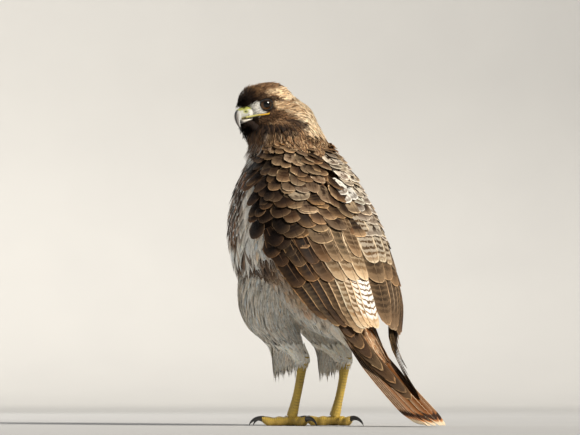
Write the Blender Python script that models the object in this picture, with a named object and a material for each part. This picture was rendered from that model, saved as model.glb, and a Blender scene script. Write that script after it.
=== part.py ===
"""A red-tailed hawk standing on a level floor, life size, looking back over its left shoulder.

Run it with blender --background --python part.py or from Blender's text editor. The hawk faces -Y,
its left side is +X and +Z is up. Sizes below are millimetres; the objects are built in metres.
"""

import math
import random

import bpy
import bmesh
from mathutils import Matrix, Vector

MM = 0.001

# Gap left between two neighbouring nodes
GAP = 0.3

# Body sections from the neck down to the tail's root: distance back (Y) and height (Z) of the axis,
# half width, and depth from the axis to the back and to the belly
TRUNK = (
    (-48, 368, 46, 40, 46),
    (-45, 352, 52, 43, 53),
    (-42, 332, 62, 48, 65),
    (-38, 306, 74, 50, 80),
    (-32, 278, 83, 52, 93),
    (-24, 250, 88, 54, 101),
    (-13, 222, 88, 55, 101),
    (1, 195, 80, 52, 90),
    (18, 169, 66, 46, 68),
    (37, 147, 50, 36, 48),
    (56, 128, 34, 25, 32),
)
TRUNK_RINGS = 13
TRUNK_SIDES = 22

# Neck sections, level: centre X, Y, height Z, half width, half depth
NECK = (
    (2, -46, 352.8, 52, 50),
    (1, -54, 366, 49, 49),
    (-1, -56, 380, 40, 42),
    (-5, -58, 395, 33, 34),
    (-4, -60, 408, 26, 27),
    (-2, -63, 418, 20, 20),
    (0, -66, 424, 10, 10),
)
NECK_SIDES = 20

# The head's frame: the point midway between the eyes, how far it turns to the hawk's left, and its dip
EYE_LINE = (35.2, -75.2, 403.2)
HEAD_TURN = 87
HEAD_DIP = 12

# Head sections along the head's own axis: distance ahead of the eyes, half width, top and bottom
HEAD = (
    (18.5, 10, 2, -13),
    (16.5, 14.5, 8, -20),
    (11, 19.5, 16, -31),
    (3, 24, 23, -41),
    (-6, 27, 26.5, -45),
    (-17, 31, 28, -45),
    (-29, 33.5, 27.5, -42),
    (-41, 32, 22, -40),
    (-52, 25, 12, -32),
    (-59, 13, 1, -19),
)
HEAD_FULLNESS = 2.2
HEAD_SIDES = 20
HEAD_CUT_BACK = 20
HEAD_CUT_DROP = 24
HEAD_CUT_LEAN = 22

EYE_RADIUS = 9.6
EYE_OUT = 17.4
EYE_AHEAD = 0
EYE_LOOKS = (0.5, 0.87)
LID_RADIUS = 8.3
LID_FLATTENED = 0.8
LID_THICK = 1.3
BROW_THICK = 3.4

# Bill: the ridge and the cutting edge from the cere to the hooked tip, (ahead, up) in the head's frame
CERE = ((15, 11.5, 0.8, -12.0), (20, 10.8, 1.2, -12.6), (24, 9.4, 0.8, -12.8), (27.5, 7.8, -0.2, -12.8))
BILL_RIDGE = ((27.8, -0.4), (32.2, -1.2), (35.6, -4.6), (37.0, -10.0), (36.2, -17.0), (34.4, -21.4), (32.2, -24.6))
BILL_EDGE = ((27.8, -12.6), (30.0, -13.0), (31.8, -13.8), (32.6, -15.6), (32.6, -18.4), (32.0, -21.6), (31.4, -24.6))
BILL_HALF_WIDTHS = (7.4, 6.7, 5.7, 4.6, 3.2, 1.9, 0.5)
LOWER_BILL = ((14, -15.0, 8.6, 2.3), (20, -15.4, 8.2, 2.4), (25, -16.0, 7.0, 2.5), (29, -16.5, 5.2, 2.3), (31.2, -16.7, 2.6, 1.4))

# Tail: its root, its tip on the floor, and the point that both ends of its curve aim at, as (Y, Z)
TAIL_ROOT = (50, 134)
TAIL_BEND = (108, 66)
TAIL_TIP = (200, -1.6)
TAIL_FEATHERS = 12
TAIL_FEATHER_HALF_WIDTH = 11.5
TAIL_SPREAD = 30
TAIL_TOP = 2.0
TAIL_STEP = 1.15

# Wing edges for the left wing, from the shoulder to the tip of the longest primary
WING_FRONT = (
    (46, -56, 336),
    (74, -44, 300),
    (90, -22, 260),
    (95, 4, 224),
    (92, 36, 184),
    (80, 68, 146),
    (46, 99, 90),
    (19, 168, 30),
)
WING_BACK = (
    (20, -16, 349),
    (8, 10, 324),
    (4, 35, 289),
    (4.5, 56, 250),
    (6, 76, 210),
    (7, 92, 166),
    (8, 114, 108),
    (9, 172, 42),
)
WING_BULGE = (14, 19, 22, 22, 18, 12, 5, 1)
WING_CORE_END = 0.60
WING_CORE_RISE = 9.0
WING_CORE_DEPTH = 30.0
PRIMARIES = 6
SECONDARIES = 7
COVERTS = 5
COVERT_HALF_WIDTH = 0.145
# Where the rows of coverts and scapulars end, as shares of the wing's length, lowest row first
COVERT_ROWS = (0.585, 0.50, 0.415, 0.33, 0.245)
# How steeply a vane rises sideways, so that its edge lies over the next one
ROLL = 0.085

# Leg sections from inside the flank to the ankle: centre X, Y, Z, half width, half depth
THIGH = (
    (34, -22, 232, 24, 38),
    (42, -38, 204, 33, 46),
    (45, -41, 174, 34, 45),
    (45, -41, 146, 31, 42),
    (44, -34, 121, 26, 35),
    (41, -17, 101, 17, 25),
    (38.5, 2, 87, 10, 13),
    (38, 8, 79, 7.5, 8.5),
)
ANKLE = (38, 12, 86)
FOOT_ROOT = (38, -8, 12)
SHANK_RADII = (7.4, 5.6, 5.0, 5.2, 6.6)

# Toes: direction in degrees from straight ahead (outwards positive), length, thickness, claw radius
TOES = {
    "inner": (-34, 36, 6.0, 15.5),
    "middle": (4, 47, 6.0, 14.5),
    "outer": (44, 37, 5.4, 13.5),
    "hind": (176, 27, 6.2, 16.5),
}
CLAW_THICK = 3.5

BROWN = (0.17, 0.10, 0.055)
DARK_BROWN = (0.09, 0.055, 0.035)
RUFOUS = (0.50, 0.19, 0.06)
WHITE = (0.62, 0.58, 0.50)
YELLOW = (0.62, 0.46, 0.07)
CERE_YELLOW = (0.55, 0.55, 0.13)
HORN = (0.20, 0.21, 0.22)
CLAW_BLACK = (0.02, 0.02, 0.022)
EYE_BROWN = (0.10, 0.05, 0.025)


def clear_scene():
    for old in list(bpy.data.objects):
        bpy.data.objects.remove(old)


def finish_of(name, colour, roughness):
    """A material with one colour and roughness."""
    found = bpy.data.materials.get(name)
    if found:
        return found
    made = bpy.data.materials.new(name)
    made.use_nodes = True
    shader = made.node_tree.nodes["Principled BSDF"]
    shader.inputs["Base Color"].default_value = (*colour, 1)
    shader.inputs["Roughness"].default_value = roughness
    shader.inputs["Metallic"].default_value = 0
    return made


def between(low, high, share):
    return low + (high - low) * share


def spline(points, share):
    """The point at share 0 to 1 of a smooth curve that passes evenly through the points."""
    last = len(points) - 1
    place = min(max(share, 0.0), 1.0) * last
    start = min(int(place), last - 1)
    t = place - start
    before = points[max(start - 1, 0)]
    here = points[start]
    ahead = points[start + 1]
    beyond = points[min(start + 2, last)]
    found = []
    for a, b, c, d in zip(before, here, ahead, beyond):
        found.append(
            0.5 * (2 * b + (c - a) * t + (2 * a - 5 * b + 4 * c - d) * t * t + (3 * b - a - 3 * c + d) * t ** 3)
        )
    return found


def new_object(name, mesh):
    made = bpy.data.objects.new(name, mesh)
    bpy.context.scene.collection.objects.link(made)
    return made


def from_bmesh(name, shape):
    bmesh.ops.recalc_face_normals(shape, faces=shape.faces)
    if shape.calc_volume(signed=True) < 0:
        bmesh.ops.reverse_faces(shape, faces=shape.faces)
    mesh = bpy.data.meshes.new(name)
    shape.to_mesh(mesh)
    shape.free()
    return new_object(name, mesh)


def loft(name, rings):
    """A closed surface through rings of points, each with as many points, its two ends closed by fans."""
    shape = bmesh.new()
    made = [[shape.verts.new(Vector(point) * MM) for point in ring] for ring in rings]
    count = len(made[0])
    for first, second in zip(made, made[1:]):
        for i in range(count):
            j = (i + 1) % count
            shape.faces.new((first[i], first[j], second[j]))
            shape.faces.new((first[i], second[j], second[i]))
    for ring in (made[0], made[-1]):
        middle = sum((corner.co for corner in ring), Vector()) / count
        centre = shape.verts.new(middle)
        for i in range(count):
            shape.faces.new((ring[i], ring[(i + 1) % count], centre))
    return from_bmesh(name, shape)


def oval(centre, across, up, half_width, top, bottom, sides, fullness=2.0):
    """A ring round centre: half_width either way across, top and bottom along up. Fullness 2 is an ellipse."""
    ring = []
    for i in range(sides):
        angle = math.tau * i / sides
        c, s = math.cos(angle), math.sin(angle)
        x = math.copysign(abs(s) ** (2 / fullness), s) * half_width
        z = math.copysign(abs(c) ** (2 / fullness), c) * (top if c > 0 else bottom)
        ring.append(centre + across * x + up * z)
    return ring


def tube(name, path, radii, sides):
    """A tube with a radius at each point of its path."""
    rings = []
    points = [Vector(p) for p in path]
    first = (points[1] - points[0]).normalized()
    across = Vector((1, 0, 0)) if abs(first.x) < 0.8 else Vector((0, 1, 0))
    for i, point in enumerate(points):
        along = (points[min(i + 1, len(points) - 1)] - points[max(i - 1, 0)]).normalized()
        across = (across - along * across.dot(along)).normalized()
        rings.append(oval(point, across, across.cross(along), radii[i], radii[i], radii[i], sides))
    return loft(name, rings)


def ball(name, centre, radius, segments=14, rings=9):
    shape = bmesh.new()
    bmesh.ops.create_uvsphere(shape, u_segments=segments, v_segments=rings, radius=radius * MM)
    bmesh.ops.translate(shape, verts=shape.verts, vec=Vector(centre) * MM)
    return from_bmesh(name, shape)


def evaluated(thing):
    graph = bpy.context.evaluated_depsgraph_get()
    return bpy.data.meshes.new_from_object(thing.evaluated_get(graph))


def keep_largest(mesh):
    """Drops every loose surface but the one that holds most volume."""
    shape = bmesh.new()
    shape.from_mesh(mesh)
    unseen = set(shape.verts)
    pieces = []
    while unseen:
        piece = set()
        front = {unseen.pop()}
        while front:
            piece |= front
            front = {edge.other_vert(v) for v in front for edge in v.link_edges} & unseen
            unseen -= front
        pieces.append(piece)
    if len(pieces) > 1:
        largest = max(pieces, key=volume_of)
        bmesh.ops.delete(shape, geom=[v for v in shape.verts if v not in largest], context="VERTS")
        shape.to_mesh(mesh)
    shape.free()


def volume_of(corners):
    """Six times the volume inside the surface that has these corners."""
    found = 0
    for face in {face for corner in corners for face in corner.link_faces}:
        first = face.verts[0].co
        for second, third in zip(face.verts[1:], face.verts[2:]):
            found += first.dot(second.co.cross(third.co))
    return found


def apply_boolean(body, operation, others, solver):
    """Joins or cuts body with the other objects in one step, and removes them."""
    group = bpy.data.collections.new("pieces")
    bpy.context.scene.collection.children.link(group)
    for other in others:
        bpy.context.scene.collection.objects.unlink(other)
        group.objects.link(other)
    step = body.modifiers.new("pieces", "BOOLEAN")
    step.operation = operation
    step.solver = solver
    step.operand_type = "COLLECTION"
    step.collection = group
    mesh = evaluated(body)
    body.modifiers.remove(step)
    body.data = mesh
    keep_largest(mesh)
    for other in list(group.objects):
        bpy.data.objects.remove(other)
    bpy.data.collections.remove(group)


def join(body, pieces, solver="MANIFOLD"):
    apply_boolean(body, "UNION", pieces, solver)


def swollen(thing, gap=GAP):
    """A copy of the object grown by the gap along its normals, to cut a neighbour with."""
    shape = bmesh.new()
    shape.from_mesh(thing.data)
    shape.normal_update()
    moves = [(v, v.normal * gap * MM) for v in shape.verts]
    for v, move in moves:
        v.co += move
    return from_bmesh(thing.name + "_room", shape)


def cut_clear(body, *neighbours):
    """Takes from body the room of each neighbour and the gap round it."""
    for neighbour in neighbours:
        apply_boolean(body, "DIFFERENCE", [swollen(neighbour)], "MANIFOLD")


def keep_side(body, point, normal):
    """Keeps the part of body that lies on the side of the plane that the normal points to."""
    reach = 1000
    shape = bmesh.new()
    bmesh.ops.create_cube(shape, size=reach * MM)
    turn = Vector((0, 0, 1)).rotation_difference(Vector(normal)).to_matrix().to_4x4()
    place = Matrix.Translation((Vector(point) - Vector(normal).normalized() * reach / 2) * MM)
    bmesh.ops.transform(shape, matrix=place @ turn, verts=shape.verts)
    apply_boolean(body, "DIFFERENCE", [from_bmesh("half", shape)], "MANIFOLD")


def mirrored(thing, name):
    """The shape turned into the one for the hawk's other side."""
    shape = bmesh.new()
    shape.from_mesh(thing.data)
    bmesh.ops.scale(shape, vec=(-1, 1, 1), verts=shape.verts)
    bpy.data.objects.remove(thing)
    return from_bmesh(name, shape)


def dress(thing, name, colour, roughness=0.7, smooth_below=40):
    """Names a finished node and gives it its material and smooth shading."""
    thing.name = name
    thing.data.materials.clear()
    thing.data.materials.append(finish_of(name, colour, roughness))
    thing.data.shade_smooth()
    thing.data.set_sharp_from_angle(angle=math.radians(smooth_below))
    return thing


def trunk_section(share):
    """Centre, the directions across and towards the back, and the sizes of the body's section."""
    y, z, half_width, back, belly = spline(TRUNK, share)
    step = 0.01
    ahead = spline(TRUNK, share + step)
    behind = spline(TRUNK, share - step)
    along = Vector((0, ahead[0] - behind[0], ahead[1] - behind[1])).normalized()
    across = Vector((1, 0, 0))
    return Vector((0, y, z)), across, across.cross(along), half_width, back, belly


def torso():
    rings = []
    for i in range(TRUNK_RINGS):
        centre, across, back_way, half_width, back, belly = trunk_section(i / (TRUNK_RINGS - 1))
        rings.append(oval(centre, across, back_way, half_width, back, belly, TRUNK_SIDES, 2.15))
    body = loft("torso", rings)
    keep_side(body, (0, 0, NECK[0][2] - GAP), (0, 0, -1))
    return body


def head_frame():
    """The head's ahead, left and up directions."""
    turn = math.radians(HEAD_TURN)
    dip = math.radians(HEAD_DIP)
    level = Vector((math.sin(turn), -math.cos(turn), 0))
    left = Vector((0, 0, 1)).cross(level)
    ahead = level * math.cos(dip) - Vector((0, 0, 1)) * math.sin(dip)
    return ahead, left, ahead.cross(left)


def head_point(ahead_by, left_by, up_by):
    ahead, left, up = head_frame()
    return Vector(EYE_LINE) + ahead * ahead_by + left * left_by + up * up_by


def on_cheek(ahead_by, side, up_by, out_by):
    """A point out_by beyond the side of the head."""
    for front, back in zip(HEAD, HEAD[1:]):
        if ahead_by >= back[0]:
            break
    share = min(max((front[0] - ahead_by) / (front[0] - back[0]), 0), 1)
    half_width, top, bottom = (between(front[i], back[i], share) for i in (1, 2, 3))
    level = min(abs(up_by / (top if up_by > 0 else bottom)), 0.98)
    width = half_width * (1 - level ** HEAD_FULLNESS) ** (1 / HEAD_FULLNESS)
    return head_point(ahead_by, side * (width + out_by), up_by)


def head_and_neck():
    """The head and neck as one form, parted by a thin slanted cut behind the cheeks."""
    ahead, left, up = head_frame()
    rings = [
        oval(head_point(x, 0, 0), left, up, half_width, top, -bottom, HEAD_SIDES, HEAD_FULLNESS)
        for x, half_width, top, bottom in HEAD
    ]
    skull = loft("head", rings)
    neck_rings = []
    for i in range(9):
        x, y, z, half_width, half_depth = spline(NECK, i / 8)
        neck_rings.append(
            oval(Vector((x, y, z)), Vector((1, 0, 0)), Vector((0, 1, 0)), half_width, half_depth, half_depth, NECK_SIDES)
        )
    join(skull, [loft("neck", neck_rings)])
    neck = bpy.data.objects.new("neck", skull.data.copy())
    bpy.context.scene.collection.objects.link(neck)
    lean = math.radians(HEAD_CUT_LEAN)
    normal = (ahead * math.sin(lean) + Vector((0, 0, 1)) * math.cos(lean)).normalized()
    point = head_point(-HEAD_CUT_BACK, 0, -HEAD_CUT_DROP)
    keep_side(skull, point + normal * GAP / 2, normal)
    keep_side(neck, point - normal * GAP / 2, -normal)
    return skull, neck


def eye_centre(side):
    return head_point(EYE_AHEAD, EYE_OUT * side, 0)


def face(skull):
    """Brow ridges and lids, joined to the head, and the sockets that hold the eyes."""
    ahead, left, up = head_frame()
    pieces = []
    for side in (1, -1):
        brow = [
            on_cheek(16, side, 4.0, -0.6),
            on_cheek(11, side, 7.4, 0.0),
            on_cheek(5, side, 9.4, 0.2),
            on_cheek(-2, side, 9.8, 0.0),
            on_cheek(-9, side, 7.8, -0.8),
        ]
        pieces.append(tube("brow", brow, (1.4, 2.6, BROW_THICK, BROW_THICK, 1.6), 7))
        looks = (ahead * EYE_LOOKS[0] + left * side * EYE_LOOKS[1]).normalized()
        round_up = (up - looks * up.dot(looks)).normalized()
        round_side = looks.cross(round_up)
        middle = eye_centre(side) + looks * 5.2
        lid = []
        for i in range(12):
            angle = math.tau * i / 12
            out = round_side * math.cos(angle) + round_up * math.sin(angle) * LID_FLATTENED
            lid.append(
                oval(middle + out * LID_RADIUS, out.normalized(), looks, LID_THICK, LID_THICK, LID_THICK, 6)
            )
        shape = bmesh.new()
        rings = [[shape.verts.new(p * MM) for p in ring] for ring in lid]
        for a, b in zip(rings, rings[1:] + rings[:1]):
            for i in range(6):
                j = (i + 1) % 6
                shape.faces.new((a[i], a[j], b[j]))
                shape.faces.new((a[i], b[j], b[i]))
        pieces.append(from_bmesh("lid", shape))
    join(skull, pieces)
    eyes = []
    for side, name in ((1, "eye_left"), (-1, "eye_right")):
        eyes.append(ball(name, eye_centre(side), EYE_RADIUS))
    cut_clear(skull, *eyes)
    return eyes


def bill():
    """The cere with its nostrils and lips, the hooked upper bill and the lower bill."""
    ahead, left, up = head_frame()
    cere_rings = []
    for x, half_width, top, bottom in CERE:
        middle = (top + bottom) / 2
        half = (top - bottom) / 2
        cere_rings.append(oval(head_point(x, 0, middle), left, up, half_width, half, half, 16, 2.3))
    cere = loft("cere", cere_rings)
    lips = []
    for side in (1, -1):
        lip = [
            head_point(24, 6.6 * side, -10.8),
            on_cheek(18.4, side, -11.2, 4.6),
            on_cheek(14, side, -11.6, 1.2),
            on_cheek(8, side, -11.9, 0.8),
            on_cheek(3.5, side, -12.2, 0.7),
            on_cheek(0, side, -12.4, 0.2),
        ]
        lips.append(tube("lip", lip, (1.5, 1.7, 1.7, 1.6, 1.5, 0.9), 6))
    join(cere, lips)
    nostrils = [
        tube("nostril", (head_point(24, 14 * side, -4.2), head_point(23.6, 7.4 * side, -4.6)), (1.7, 1.2), 8)
        for side in (1, -1)
    ]
    apply_boolean(cere, "DIFFERENCE", nostrils, "MANIFOLD")

    rings = []
    for i in range(9):
        share = i / 8
        rx, rz = spline(BILL_RIDGE, share)
        ex, ez = spline(BILL_EDGE, share)
        half_width = spline([(w,) for w in BILL_HALF_WIDTHS], share)[0]
        ridge = head_point(rx, 0, rz)
        edge = head_point(ex, 0, ez)
        middle = (ridge + edge) / 2
        rings.append(
            oval(middle, left, (ridge - edge).normalized(), half_width, (ridge - edge).length / 2, (ridge - edge).length / 2, 12, 2.2)
        )
    upper = loft("bill_upper", rings)
    lower_rings = [
        oval(head_point(x, 0, z), left, up, half_width, half_depth, half_depth, 12)
        for x, z, half_width, half_depth in LOWER_BILL
    ]
    lower = loft("bill_lower", lower_rings)
    return cere, upper, lower


def wing_point(u, v, h):
    """The left wing's own coordinates: u from shoulder to tip, v from the front edge to the back, h outwards."""

    def on_sheet(a, b):
        front = Vector(spline(WING_FRONT, a))
        back = Vector(spline(WING_BACK, a))
        bulge = spline([(w,) for w in WING_BULGE], a)[0]
        chord = back - front
        out = Vector((0, 0.62, -0.78)).cross(chord).normalized()
        return front + chord * b + out * bulge * 4 * b * (1 - b)

    step = 0.01
    middle = on_sheet(u, v)
    along = on_sheet(min(u + step, 1), v) - on_sheet(max(u - step, 0), v)
    over = on_sheet(u, v + step) - on_sheet(u, v - step)
    return middle + along.cross(over).normalized() * h


def wing_width(u):
    return (Vector(spline(WING_BACK, u)) - Vector(spline(WING_FRONT, u))).length


def core_height(u):
    """How far the wing's flesh stands above its sheet."""
    return WING_CORE_RISE * max(1 - u / WING_CORE_END, 0)


def wing_core():
    """The folded arm with its small feathers, as a thick shell that the torso is cut out of."""
    stations = 9
    across = 7
    rings = []
    for i in range(stations):
        u = 0.015 + (WING_CORE_END - 0.015) * i / (stations - 1)
        share = i / (stations - 1)
        top = core_height(u)
        depth = between(WING_CORE_DEPTH, 5.0, max(share - 0.45, 0) / 0.55) if share > 0.45 else WING_CORE_DEPTH
        if i == 0:
            top -= 5
        outer = []
        inner = []
        for j in range(across + 1):
            v = j / across
            edge = 1 - (2 * v - 1) ** 6
            outer.append(wing_point(u, v, top * edge - 3.0 * (1 - edge)))
            inner.append(wing_point(u, between(0.02, 0.98, v), -depth * (0.35 + 0.65 * edge)))
        rings.append(outer + inner[::-1])
    return loft("wing", rings)


def blade(place, length_stations, half_width, thick, lift, roll, tip_power=2.6):
    """One feather vane: place(share, side) gives the point and outward way on its surface.

    Its root is at share 0. lift(share) is its height, and roll raises one edge over the next vane.
    """
    rings = []
    for i in range(length_stations):
        share = i / (length_stations - 1)
        taper = (1 - share ** tip_power) ** 0.55 if share < 1 else 0.0
        width = half_width * max(taper, 0.16) * between(0.72, 1.0, min(share * 3, 1))
        height = lift(share)
        body = between(1.0, 0.62, share) * thick
        top = []
        under = []
        for side in (-1, 0, 1):
            crown = 0.35 if side == 0 else 0.0
            rise = height - roll * side * width + crown
            point, out = place(share, side * width)
            top.append(point + out * rise)
            if side:
                under.append(point + out * (rise - body))
        rings.append(top + under[::-1])
    return loft("vane", rings)


def wing_vane(root, tip, half_width, thick, root_height, tip_height, roll, stations=5):
    """A vane on the wing from its (u, v) root to its tip, at heights above the wing's sheet."""

    def place(share, sideways):
        u = between(root[0], tip[0], share)
        v = between(root[1], tip[1], share) + sideways / wing_width(u)
        point = wing_point(u, v, 0)
        return point, wing_point(u, v, 1) - point

    return blade(place, stations, half_width, thick, lambda s: between(root_height, tip_height, s), roll)


def wing(seed):
    """The left wing: its core, and the primaries, secondaries and rows of coverts and scapulars on it."""
    draw = random.Random(seed)
    core = wing_core()
    vanes = []
    for i in range(PRIMARIES):
        share = i / (PRIMARIES - 1)
        root = (0.50, between(0.32, 0.10, share))
        tip = (between(0.83, 1.0, share), between(0.28, 0.5, share))
        vanes.append(wing_vane(root, tip, 11.5 - 1.5 * share, 0.9, -4 - 1.3 * i, -1.5 - 1.6 * i, 0.0))
    for i in range(SECONDARIES):
        share = i / (SECONDARIES - 1)
        root = (0.47, between(0.08, 0.90, share))
        length = between(0.70, 0.755, math.sin(share * math.pi)) + draw.uniform(-0.006, 0.006)
        tip = (length, between(0.09, 0.92, share))
        vanes.append(wing_vane(root, tip, 11.5 + 2 * share, 0.8, -0.6, 2.2 + 1.6 * share, ROLL))
    for row, tip_u in enumerate(COVERT_ROWS):
        reach = 0.10 + 0.1 * tip_u
        for i in range(COVERTS):
            v = between(0.07, 0.85, (i + 0.4 * (row % 2)) / (COVERTS - 0.6))
            end = tip_u + draw.uniform(-0.008, 0.008)
            start = end - reach
            half_width = COVERT_HALF_WIDTH * wing_width(end)
            rise = core_height(start) - 2.0
            vanes.append(wing_vane((start, v), (end, v), half_width, 0.7, rise, core_height(end) + 4.6, ROLL, 4))
    join(core, vanes)
    return core


def tail_point(share):
    """Point and upward way of the tail's curve, in the middle plane."""
    a, b, c = (Vector((0, *p)) for p in (TAIL_ROOT, TAIL_BEND, TAIL_TIP))
    point = a * (1 - share) ** 2 + b * 2 * share * (1 - share) + c * share ** 2
    along = ((b - a) * (1 - share) + (c - b) * share).normalized()
    return point, Vector((1, 0, 0)).cross(along)


def tail():
    """The tail's root with its coverts, and twelve folded feathers whose tips lie on the floor."""
    rings = []
    end = spline(TRUNK, 1)
    for share, half_width, top, under in ((0.035, 33, 24, 31), (0.14, 31, 18, 26), (0.28, 28, 11, 17), (0.42, 23, 5.5, 8), (0.50, 14, 2.5, 3)):
        point, up = tail_point(share)
        rings.append(oval(point, Vector((1, 0, 0)), up, half_width, top, under, 20))
    root = loft("tail", rings)
    vanes = []
    for i in range(TAIL_FEATHERS):
        side = 1 if i % 2 == 0 else -1
        rank = i // 2
        outer = rank / (TAIL_FEATHERS // 2 - 1)
        on_top = i == 1

        def place(share, sideways, side=side, rank=rank, outer=outer, on_top=on_top):
            point, up = tail_point(between(0.12, 1.0 - 0.012 * rank, share))
            spread = (TAIL_SPREAD - 2 * TAIL_FEATHER_HALF_WIDTH) * outer + 4 * outer * share
            offset = side * (TAIL_FEATHER_HALF_WIDTH + 0.3 + spread)
            if on_top:
                offset = -2
            return point + Vector((offset + sideways, 0, 0)), up

        height = TAIL_TOP - TAIL_STEP * rank
        if on_top:
            height = TAIL_TOP + TAIL_STEP
        vanes.append(blade(place, 5, TAIL_FEATHER_HALF_WIDTH, 0.75, lambda s, height=height: height, 0.0, 5.0))
    join(root, vanes)
    keep_side(root, (0, 0, 0), (0, 0, 1))
    return root


def thigh():
    """The feathered leg, with the longer feathers of its hem as tapered locks."""
    rings = []
    count = 10
    for i in range(count):
        x, y, z, half_width, half_depth = spline(THIGH, i / (count - 1))
        rings.append(
            oval(Vector((x, y, z)), Vector((1, 0, 0)), Vector((0, 1, 0)), half_width, half_depth, half_depth, 16)
        )
    body = loft("thigh", rings)
    locks = []
    number = 10
    for i in range(number):
        angle = math.tau * i / number + 0.2
        forward = (1 + math.cos(angle)) / 2
        start = 0.62
        x, y, z, half_width, half_depth = spline(THIGH, start)
        out = Vector((math.sin(angle), -math.cos(angle), 0))
        root = Vector((x + math.sin(angle) * (half_width - 3), y - math.cos(angle) * (half_depth - 3), z + 4))
        drop = between(20, 34, forward)
        tip = root + Vector((0, 0, -drop)) + out * between(-4, 2, forward)
        across = Vector((math.cos(angle), math.sin(angle), 0))

        def place(share, sideways, root=root, tip=tip, across=across, out=out):
            return root.lerp(tip, share) + across * sideways, out

        locks.append(blade(place, 4, 7.5, 1.6, lambda s: 0.6, 0.0, 1.6))
    join(body, locks)
    return body


def shank():
    top = Vector(ANKLE)
    foot = Vector(FOOT_ROOT)
    path = [top.lerp(foot, i / 4) + Vector((0, 2.0 * math.sin(math.pi * i / 4), 0)) for i in range(5)]
    return tube("shank", path, SHANK_RADII, 10)


def toe_path(length, thick):
    """Distance along, height of the middle and radius, from the foot's root to the claw."""
    return (
        (-2, 6.6, thick + 1.2),
        (length * 0.26, 5.6, thick * 0.92),
        (length * 0.45, 5.4, thick * 1.08),
        (length * 0.62, 4.9, thick * 0.88),
        (length * 0.80, 5.2, thick),
        (length * 0.92, 6.6, thick * 0.84),
        (length, 8.2, thick * 0.62),
    )


def foot():
    """Four toes on the floor, with flat pads, and a claw for each."""
    base = Vector((FOOT_ROOT[0], FOOT_ROOT[1], 0))
    toes = []
    claws = {}
    for name, (degrees, length, thick, bend) in TOES.items():
        turn = math.radians(degrees)
        way = Vector((math.sin(turn), -math.cos(turn), 0))
        line = toe_path(length, thick)
        path = [base + way * along + Vector((0, 0, height)) for along, height, radius in line]
        across = way.cross(Vector((0, 0, 1)))
        rings = []
        for point, (along, height, radius) in zip(path, line):
            rings.append(oval(point, across, Vector((0, 0, 1)), radius, radius * 0.92, radius * 0.98, 8))
        toes.append(loft("toe", rings))
        claw_rings = []
        steps = 6
        for i in range(steps):
            share = i / (steps - 1)
            heading = math.radians(between(22, -68, share))
            start = math.radians(22)
            along = length + bend * (math.sin(start) - math.sin(heading))
            height = line[-1][1] + bend * (math.cos(heading) - math.cos(start)) * 0.985
            point = base + way * (along - 1.5) + Vector((0, 0, height))
            forward = way * math.cos(heading) + Vector((0, 0, 1)) * math.sin(heading)
            radius = CLAW_THICK * (1 - share) ** 0.8 + 0.25
            claw_rings.append(oval(point, across, across.cross(forward), radius * 0.85, radius, radius, 6))
        claws[name] = loft("claw", claw_rings)
    body = toes.pop()
    join(body, toes)
    keep_side(body, (0, 0, 0), (0, 0, 1))
    for claw in claws.values():
        keep_side(claw, (0, 0, 0.02), (0, 0, 1))
        cut_clear(claw, body)
    return body, claws


def settle(nodes):
    """Moves every node so that the middle of the hawk's box is at X 0 and Y 0, on the floor at Z 0."""
    bpy.context.view_layer.update()
    corners = [thing.matrix_world @ Vector(corner) for thing in nodes for corner in thing.bound_box]
    low = Vector([min(c[i] for c in corners) for i in range(3)])
    high = Vector([max(c[i] for c in corners) for i in range(3)])
    move = Matrix.Translation((-(low.x + high.x) / 2, -(low.y + high.y) / 2, -low.z))
    for thing in nodes:
        thing.data.transform(move)


def main():
    clear_scene()
    body = dress(torso(), "torso", BROWN)
    skull, neck = head_and_neck()
    eyes = face(skull)
    cere, upper, lower = bill()
    cut_clear(skull, cere)
    cut_clear(lower, skull, cere, upper)
    nodes = [body, dress(skull, "head", BROWN), dress(neck, "neck", BROWN)]
    nodes += [dress(eye, eye.name, EYE_BROWN, 0.08, 80) for eye in eyes]
    nodes += [dress(cere, "cere", CERE_YELLOW, 0.4), dress(upper, "bill_upper", HORN, 0.3), dress(lower, "bill_lower", HORN, 0.35)]

    left = wing(3)
    cut_clear(left, body, neck, skull)
    right = mirrored(wing(8), "wing_right")
    cut_clear(right, body, neck, skull)
    nodes += [dress(left, "wing_left", BROWN), dress(right, "wing_right", BROWN)]

    rump = tail()
    cut_clear(rump, body, left, right)
    nodes.append(dress(rump, "tail", RUFOUS))

    for side, leg_name in ((1, "left"), (-1, "right")):
        leg = thigh()
        lower_leg = shank()
        toes, claws = foot()
        if side < 0:
            pieces = {"leg": leg, "shank": lower_leg, "toes": toes, **claws}
            flipped = {key: mirrored(piece, key) for key, piece in pieces.items()}
            leg = flipped.pop("leg")
            lower_leg = flipped.pop("shank")
            toes = flipped.pop("toes")
            claws = flipped
        cut_clear(leg, body, rump, left if side > 0 else right)
        cut_clear(lower_leg, leg)
        cut_clear(toes, lower_leg)
        nodes.append(dress(leg, "thigh_" + leg_name, WHITE))
        nodes.append(dress(lower_leg, "shank_" + leg_name, YELLOW, 0.5))
        nodes.append(dress(toes, "foot_" + leg_name, YELLOW, 0.5))
        for name, claw in claws.items():
            nodes.append(dress(claw, "claw_" + leg_name + "_" + name, CLAW_BLACK, 0.25))
    settle(nodes)


main()
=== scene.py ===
"""The looks of a life-size red-tailed hawk: one skin, its plumage feather by feather, eyes, bill and feet.

Sizes are millimetres in the hawk's own frame, where it faces -Y, its left is +X and the floor is at Z 0.
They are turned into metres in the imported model's frame when a mesh is made.
"""

import math
import random

import bpy
import bmesh
import numpy as np
from mathutils import Matrix, Vector
from mathutils.bvhtree import BVHTree


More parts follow.
